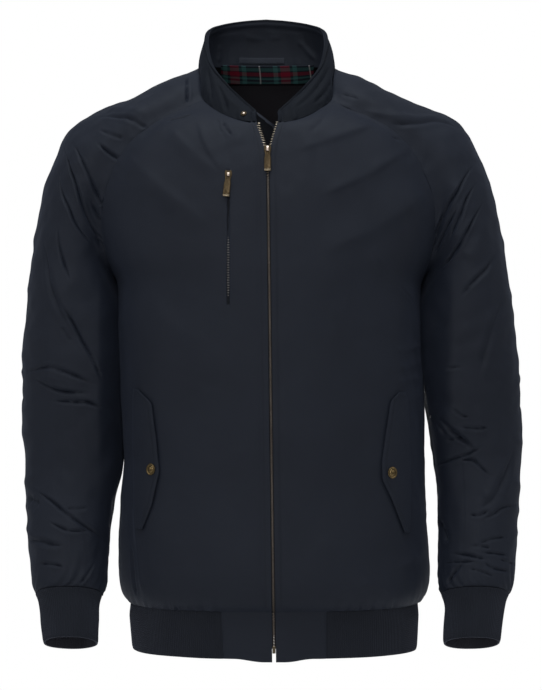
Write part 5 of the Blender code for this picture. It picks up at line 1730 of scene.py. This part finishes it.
def makePull(name, place, turn):
    cut = pullCut
    eye, half, low = cut["eye"] / 2, cut["width"] / 2, -cut["length"]
    outline = [(-eye + 0.0006, cut["bar"]), (-eye, cut["bar"] - 0.0006), (-eye * 0.98, -0.0040),
               (-half * 0.78, -0.0062), (-half * 0.85, -0.0080), (-half, -0.0100),
               (-half, low + 0.0016), (-half * 0.88, low + 0.0005), (-half * 0.66, low)]
    outline += [(-x, z) for x, z in outline[::-1]]
    hole = ((cut["slotWidth"], 0.01, cut["slot"] - cut["bar"]), (0, 0, -(cut["slot"] + cut["bar"]) / 2))
    blade = plate(name + "_blade", outline, cut["thick"] - 0.0003, tabBrass, 0.00022, 2, [hole])
    size = (cut["width"] * 1.02, cut["thick"] + 0.0002, 0.0022)
    lip = boxAt(name + "_lip", size, (0, 0, low + 0.0013), brass)
    made = joined(name, [blade, bevelled(lip, 0.0003)])
    made.matrix_world = Matrix.Translation(place) @ turn
    return made


tapes = makeTapes()
teeth = makeTeeth()
slider = makeSlider("zip_slider", frontZip["slider"], frontZip["tilt"], True)
placed(slider, "jacket", "zip_slider")
pull = makePull("zip_pull", frontZip["slider"], Matrix.Rotation(frontZip["tilt"], 4, "X"))
placed(pull, "zip_pull_tab", "zip_pull")
stopBox = bevelled(boxAt("zip_stop", frontZip["stopSize"], (0, 0, 0), brass), 0.0005)
stopBox.location = frontZip["stop"]
placed(stopBox, "jacket", "zip_stop")
print("zip", count(*tapes, *teeth, slider, pull), "triangles")


def makeWindFlap():
    rows, shares = [], np.linspace(0, 1, 9)
    for i, row in enumerate(windFlap["rows"]):
        rows.append([leaned((mix(*windFlap["x"], s), row["y"] - 0.008 * s * (i == 0),
                             mix(row["attached"], row["free"], s))) for s in shares])
    line, _, _ = frontEdge("right")
    for place in line[::6]:
        if place[2] < windFlap["rows"][-1]["free"] - 0.006:
            rows.append([(lean(place[2]) + mix(*windFlap["x"], s), place[1] + windFlap["behind"], place[2])
                         for s in shares])
    coarse = np.array(rows)
    rowAt = spread(lengthsAlong(coarse, 0).mean(1), 0.0006, 0.004, 0.02, ends=(True, False))
    grid = resampled(coarse, rowAt, np.linspace(0, len(shares) - 1, 17))
    normals = gridNormals(grid, (0, -1, 0))
    down = lengthsAlong(grid, 0)
    relief = dip(down, *windFlap["roll"]) + dip(down, *windFlap["stitch"])
    # the flap's face is painted shade, its bound edge the shell's own cloth
    made = skin("wind_flap", raised(grid, normals, relief), normals, 0.0012, flapShadeCloth, roundness=0.0006)
    made.data.materials.append(shellCloth)
    for poly in made.data.polygons:
        if np.linalg.norm(grid[0] - np.array(poly.center), axis=1).min() < windFlap["bound"]:
            poly.material_index = 1
    placed(made, "jacket", "wind_flap")


makeWindFlap()


def makeChestZip():
    low, high = chestZip["z"]
    half, behind = chestZip["tape"]
    rows = []
    for z in np.linspace(high + 0.001, low - 0.001, 61):
        hit, _ = seenAt(baseTrees["front_right"], chestZip["x"], z)
        rows.append([hit + Vector((x, behind, 0)) for x in (-half, 0, half)])
    grid = np.array(rows)
    normals = gridNormals(grid, (0, -1, 0))
    tape = skin("chest_zip_tape", grid, normals, 0.0005, chestTape)
    placed(tape, "jacket", "chest_zip_tape")
    frames = []
    line, up = grid[:, 1], normals[:, 1]
    length = lengthsAlong(line[None], 1)[0]
    for at in np.arange(0.004, length[-1] - 0.001, chestZip["pitch"]):
        origin, n = pointAt(line, length, at), unit(pointAt(up, length, at))
        way = unit(np.cross(n, line[-1] - line[0]))
        seen = within(origin[2], *chestZip["seen"], 0.012, 0.006)
        axes = [way * mix(0.3, 1, seen), n, np.cross(n, way)]
        frames.append((origin + n * mix(*chestZip["sunk"], seen), axes))
    chestTeeth = copies("chest_zip_teeth", boxShape(chestZip["tooth"], 0.22), frames, chestBrass)
    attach(chestTeeth, "jacket")
    axis, tilt = chestZip["axis"], chestZip["tilt"]
    slide = placed(makeSlider("chest_zip_slider", axis, tilt, False), "jacket", "chest_zip_slider")
    turn = Matrix.Rotation(chestZip["askew"], 4, "Y") @ Matrix.Rotation(tilt, 4, "X")
    tab = placed(makePull("chest_zip_pull", axis, turn), "chest_pull_tab", "chest_zip_pull")
    print("chest zip", count(tape, chestTeeth, slide, tab), "triangles")


makeChestZip()


flapCut = {
    "right": rowsOf("sewn free z", """
        .1590 .1535 -.3841
        .1605 .1372 -.3990
        .1610 .1328 -.4350
        .1610 .1291 -.4794
        .1605 .1383 -.5180
        .1590 .1500 -.5466"""),
    "left": rowsOf("sewn free z", """
        .1560 .1479 -.3875
        .1585 .1380 -.3967
        .1605 .1312 -.4358
        .1610 .1265 -.4700
        .1610 .1268 -.4881
        .1605 .1372 -.5104
        .1590 .1525 -.5510"""),
    "thick": 0.0020,
    "size": (80, 24),  # cells along and across
    "lift": (0.0007, 0.0009),  # off the front: at the sewn edge, and how much more at the free one
    "edgeDip": (0.0, 0.0006, 0.0012),
    "sewnDip": (0.0, 0.0010, 0.0020),
    "stitch": (0.0050, 0.0004, 0.0009),
    "snaps": {"right": (0.1399, -0.4766), "left": (0.1394, -0.4801)},
}
snapCut = {
    "collar": (0.0035, 0.0016),  # radius and height
    "flap": (0.0068, 0.0022),
    "profile": ((0, 0), (1.0, 0), (1.0, .30), (.97, .45), (.90, .52), (.80, .52), (.72, .38), (.66, .36),
                (.60, .60), (.48, .86), (.30, 1.0), (0, 1.02)),
    "collarAt": (-0.0265, -0.0640),
}


def makeFlap(side):
    mirror = sides[side]
    table = flapCut[side]
    down, across = flapCut["size"]
    level = np.linspace(table[0]["z"], table[-1]["z"], down + 1)
    fine = np.linspace(table[0]["z"], table[-1]["z"], 321)
    kernel = np.exp(-np.linspace(-1.6, 1.6, 13) ** 2)  # rounds the corners of the outline
    kernel /= kernel.sum()
    smooth = {}
    for key in ("sewn", "free"):
        values = np.interp(-fine, [-r["z"] for r in table], [r[key] for r in table])
        values = np.convolve(np.pad(values, 6, mode="edge"), kernel, mode="valid")
        smooth[key] = np.interp(-level, -fine, values)
    grid = np.zeros((down + 1, across + 1, 3))
    for r, z in enumerate(level):
        for c in range(across + 1):
            x = lean(z) + mirror * mix(smooth["sewn"][r], smooth["free"][r], c / across)
            grid[r, c], _ = seenAt(trees["front_" + side], x, z)
    normals, far = gridNormals(grid, grid * (1, 1, 0)), borders(grid)
    edge = nearest(far, "right", "top", "low")
    lift = flapCut["lift"][0] + flapCut["lift"][1] * smoothStep(far["left"] / far["left"][:, -1:], 0.1, 1.0)
    lift = lift + waves(grid, 31, (0.02, 0.06), 0.0002)
    relief = lift + flapCut["thick"] + dip(edge, *flapCut["edgeDip"]) + dip(edge, *flapCut["stitch"])
    shown = raised(grid, normals, relief + dip(far["left"], *flapCut["sewnDip"]))
    made = skin("pocket_flap_" + side, shown, normals, flapCut["thick"] - 0.0002, shellCloth,
                inner=raised(grid, normals, lift), roundness=0.0004)
    placed(made, "jacket", "pocket_flap_" + side)
    for name in ("right", "top", "low"):
        seams.append(lineAt(shown, normals, far[name], flapCut["stitch"][0], edge, name != "right"))
    x, z = flapCut["snaps"][side]
    makeSnap("flap_snap_" + side, *seenAt(treeOf(shown), lean(z) + x * mirror, z), "flap")


def makeSnap(name, place, normal, kind):
    steps, (radius, height) = 36, snapCut[kind]
    angles = [2 * math.pi * i / steps for i in range(steps)]
    ring = [(r * radius, h * height) for r, h in snapCut["profile"]]
    rows = [[(r * math.cos(a), r * math.sin(a), h) for a in angles] for r, h in ring[1:-1]]
    points = [p for row in rows for p in row] + [(0, 0, 0), (0, 0, ring[-1][1])]
    quads = gridQuads(len(rows), steps, True)[:, ::-1]
    last = len(rows) * steps
    caps = [[last, (i + 1) % steps, i] for i in range(steps)]
    caps += [[last + 1, last - steps + i, last - steps + (i + 1) % steps] for i in range(steps)]
    made = meshOf(name, points, [(quads, 0), (np.array(caps), 0)])
    made.data.set_sharp_from_angle(angle=math.radians(35))
    made.data.materials.append(tabBrass if kind == "collar" else snapBrass)
    if kind == "collar":
        # the middle of the collar snap is a painted highlight
        made.data.materials.append(highlightBrass)
        for poly in made.data.polygons:
            poly.material_index = int(poly.center.xy.length < 0.4 * radius and poly.center.z > 0.5 * height)
    turn = normal.to_track_quat("Z", "Y").to_matrix().to_4x4()
    made.matrix_world = Matrix.Translation(place + normal * 0.0003) @ turn
    placed(made, "jacket", name)


for side in sides:
    makeFlap(side)
snapX, snapZ = snapCut["collarAt"]
makeSnap("collar_snap", *seenAt(treeOf(collarGrid), lean(0) + snapX, snapZ), "collar")
print("flaps and snaps made")
sewSeams()


studio = {
    "floor": -1.15,
    "world": 0.18,
    "span": 0.828,  # of the picture, at the middle of the jacket
    "lamps": (  # name, place, aim, size, power and colour
        ("top", (0, -0.6, 1.9), (0, 0, -0.25), 1.6, 29, (0.86, 0.93, 1.0)),
        ("front", (-0.42, -3.4, 0.9), (0, 0, -0.35), 2.2, 31, (1, 1, 1)),
        ("leftSide", (-2.4, -0.8, 0.5), (0, 0, -0.3), 1.4, 5, (1, 1, 1)),
        ("rightSide", (2.4, -0.8, 0.5), (0, 0, -0.3), 1.4, 5, (1, 1, 1)),
        ("rear", (0.3, 3.4, -0.1), (0, 0, -0.35), 0.7, 34, (1, 1, 1))),
}


def makeWorld():
    # dim bluish light all round, but plain white to the camera
    world = bpy.data.worlds.new("studio")
    world.use_nodes = True
    bpy.context.scene.world = world
    tree = world.node_tree
    back = tree.nodes["Background"]
    back.inputs[0].default_value, back.inputs[1].default_value = (0.93, 0.96, 1.0, 1), studio["world"]
    white = tree.nodes.new("ShaderNodeBackground")
    white.inputs[0].default_value, white.inputs[1].default_value = (1, 1, 1, 1), 1.0
    seen, mixer = tree.nodes.new("ShaderNodeLightPath"), tree.nodes.new("ShaderNodeMixShader")
    for place, source in enumerate((seen.outputs["Is Camera Ray"], back.outputs[0], white.outputs[0])):
        tree.links.new(source, mixer.inputs[place])
    tree.links.new(mixer.outputs[0], tree.nodes["World Output"].inputs[0])


def makeStudio():
    bm = bmesh.new()
    bmesh.ops.create_grid(bm, x_segments=1, y_segments=1, size=2.9)
    pale, _, shader = newFinish("pale_floor", (0.9, 0.9, 0.9))
    setInputs(shader, {"Base Color": (0.9, 0.9, 0.9, 1), "Roughness": 0.9})
    floor = addObject("floor", meshFrom("floor", bm, pale))
    floor.location.z = studio["floor"]
    makeWorld()
    for name, place, aim, size, power, colour in studio["lamps"]:
        light = bpy.data.lights.new(name, "AREA")
        light.size, light.energy, light.color = size, power, colour
        lamp = addObject(name, light)
        lamp.location = place
        lamp.rotation_euler = (Vector(aim) - Vector(place)).to_track_quat("-Z", "Y").to_euler()
    camera = bpy.data.cameras.new("camera")
    camera.sensor_width = 36
    camera.lens = camera.sensor_width * -viewAt.y / studio["span"]
    eye = addObject("camera", camera)
    eye.location, eye.rotation_euler = viewAt, (math.pi / 2, 0, 0)
    bpy.context.scene.camera = eye
    bpy.context.scene.view_settings.view_transform = "Standard"


makeStudio()
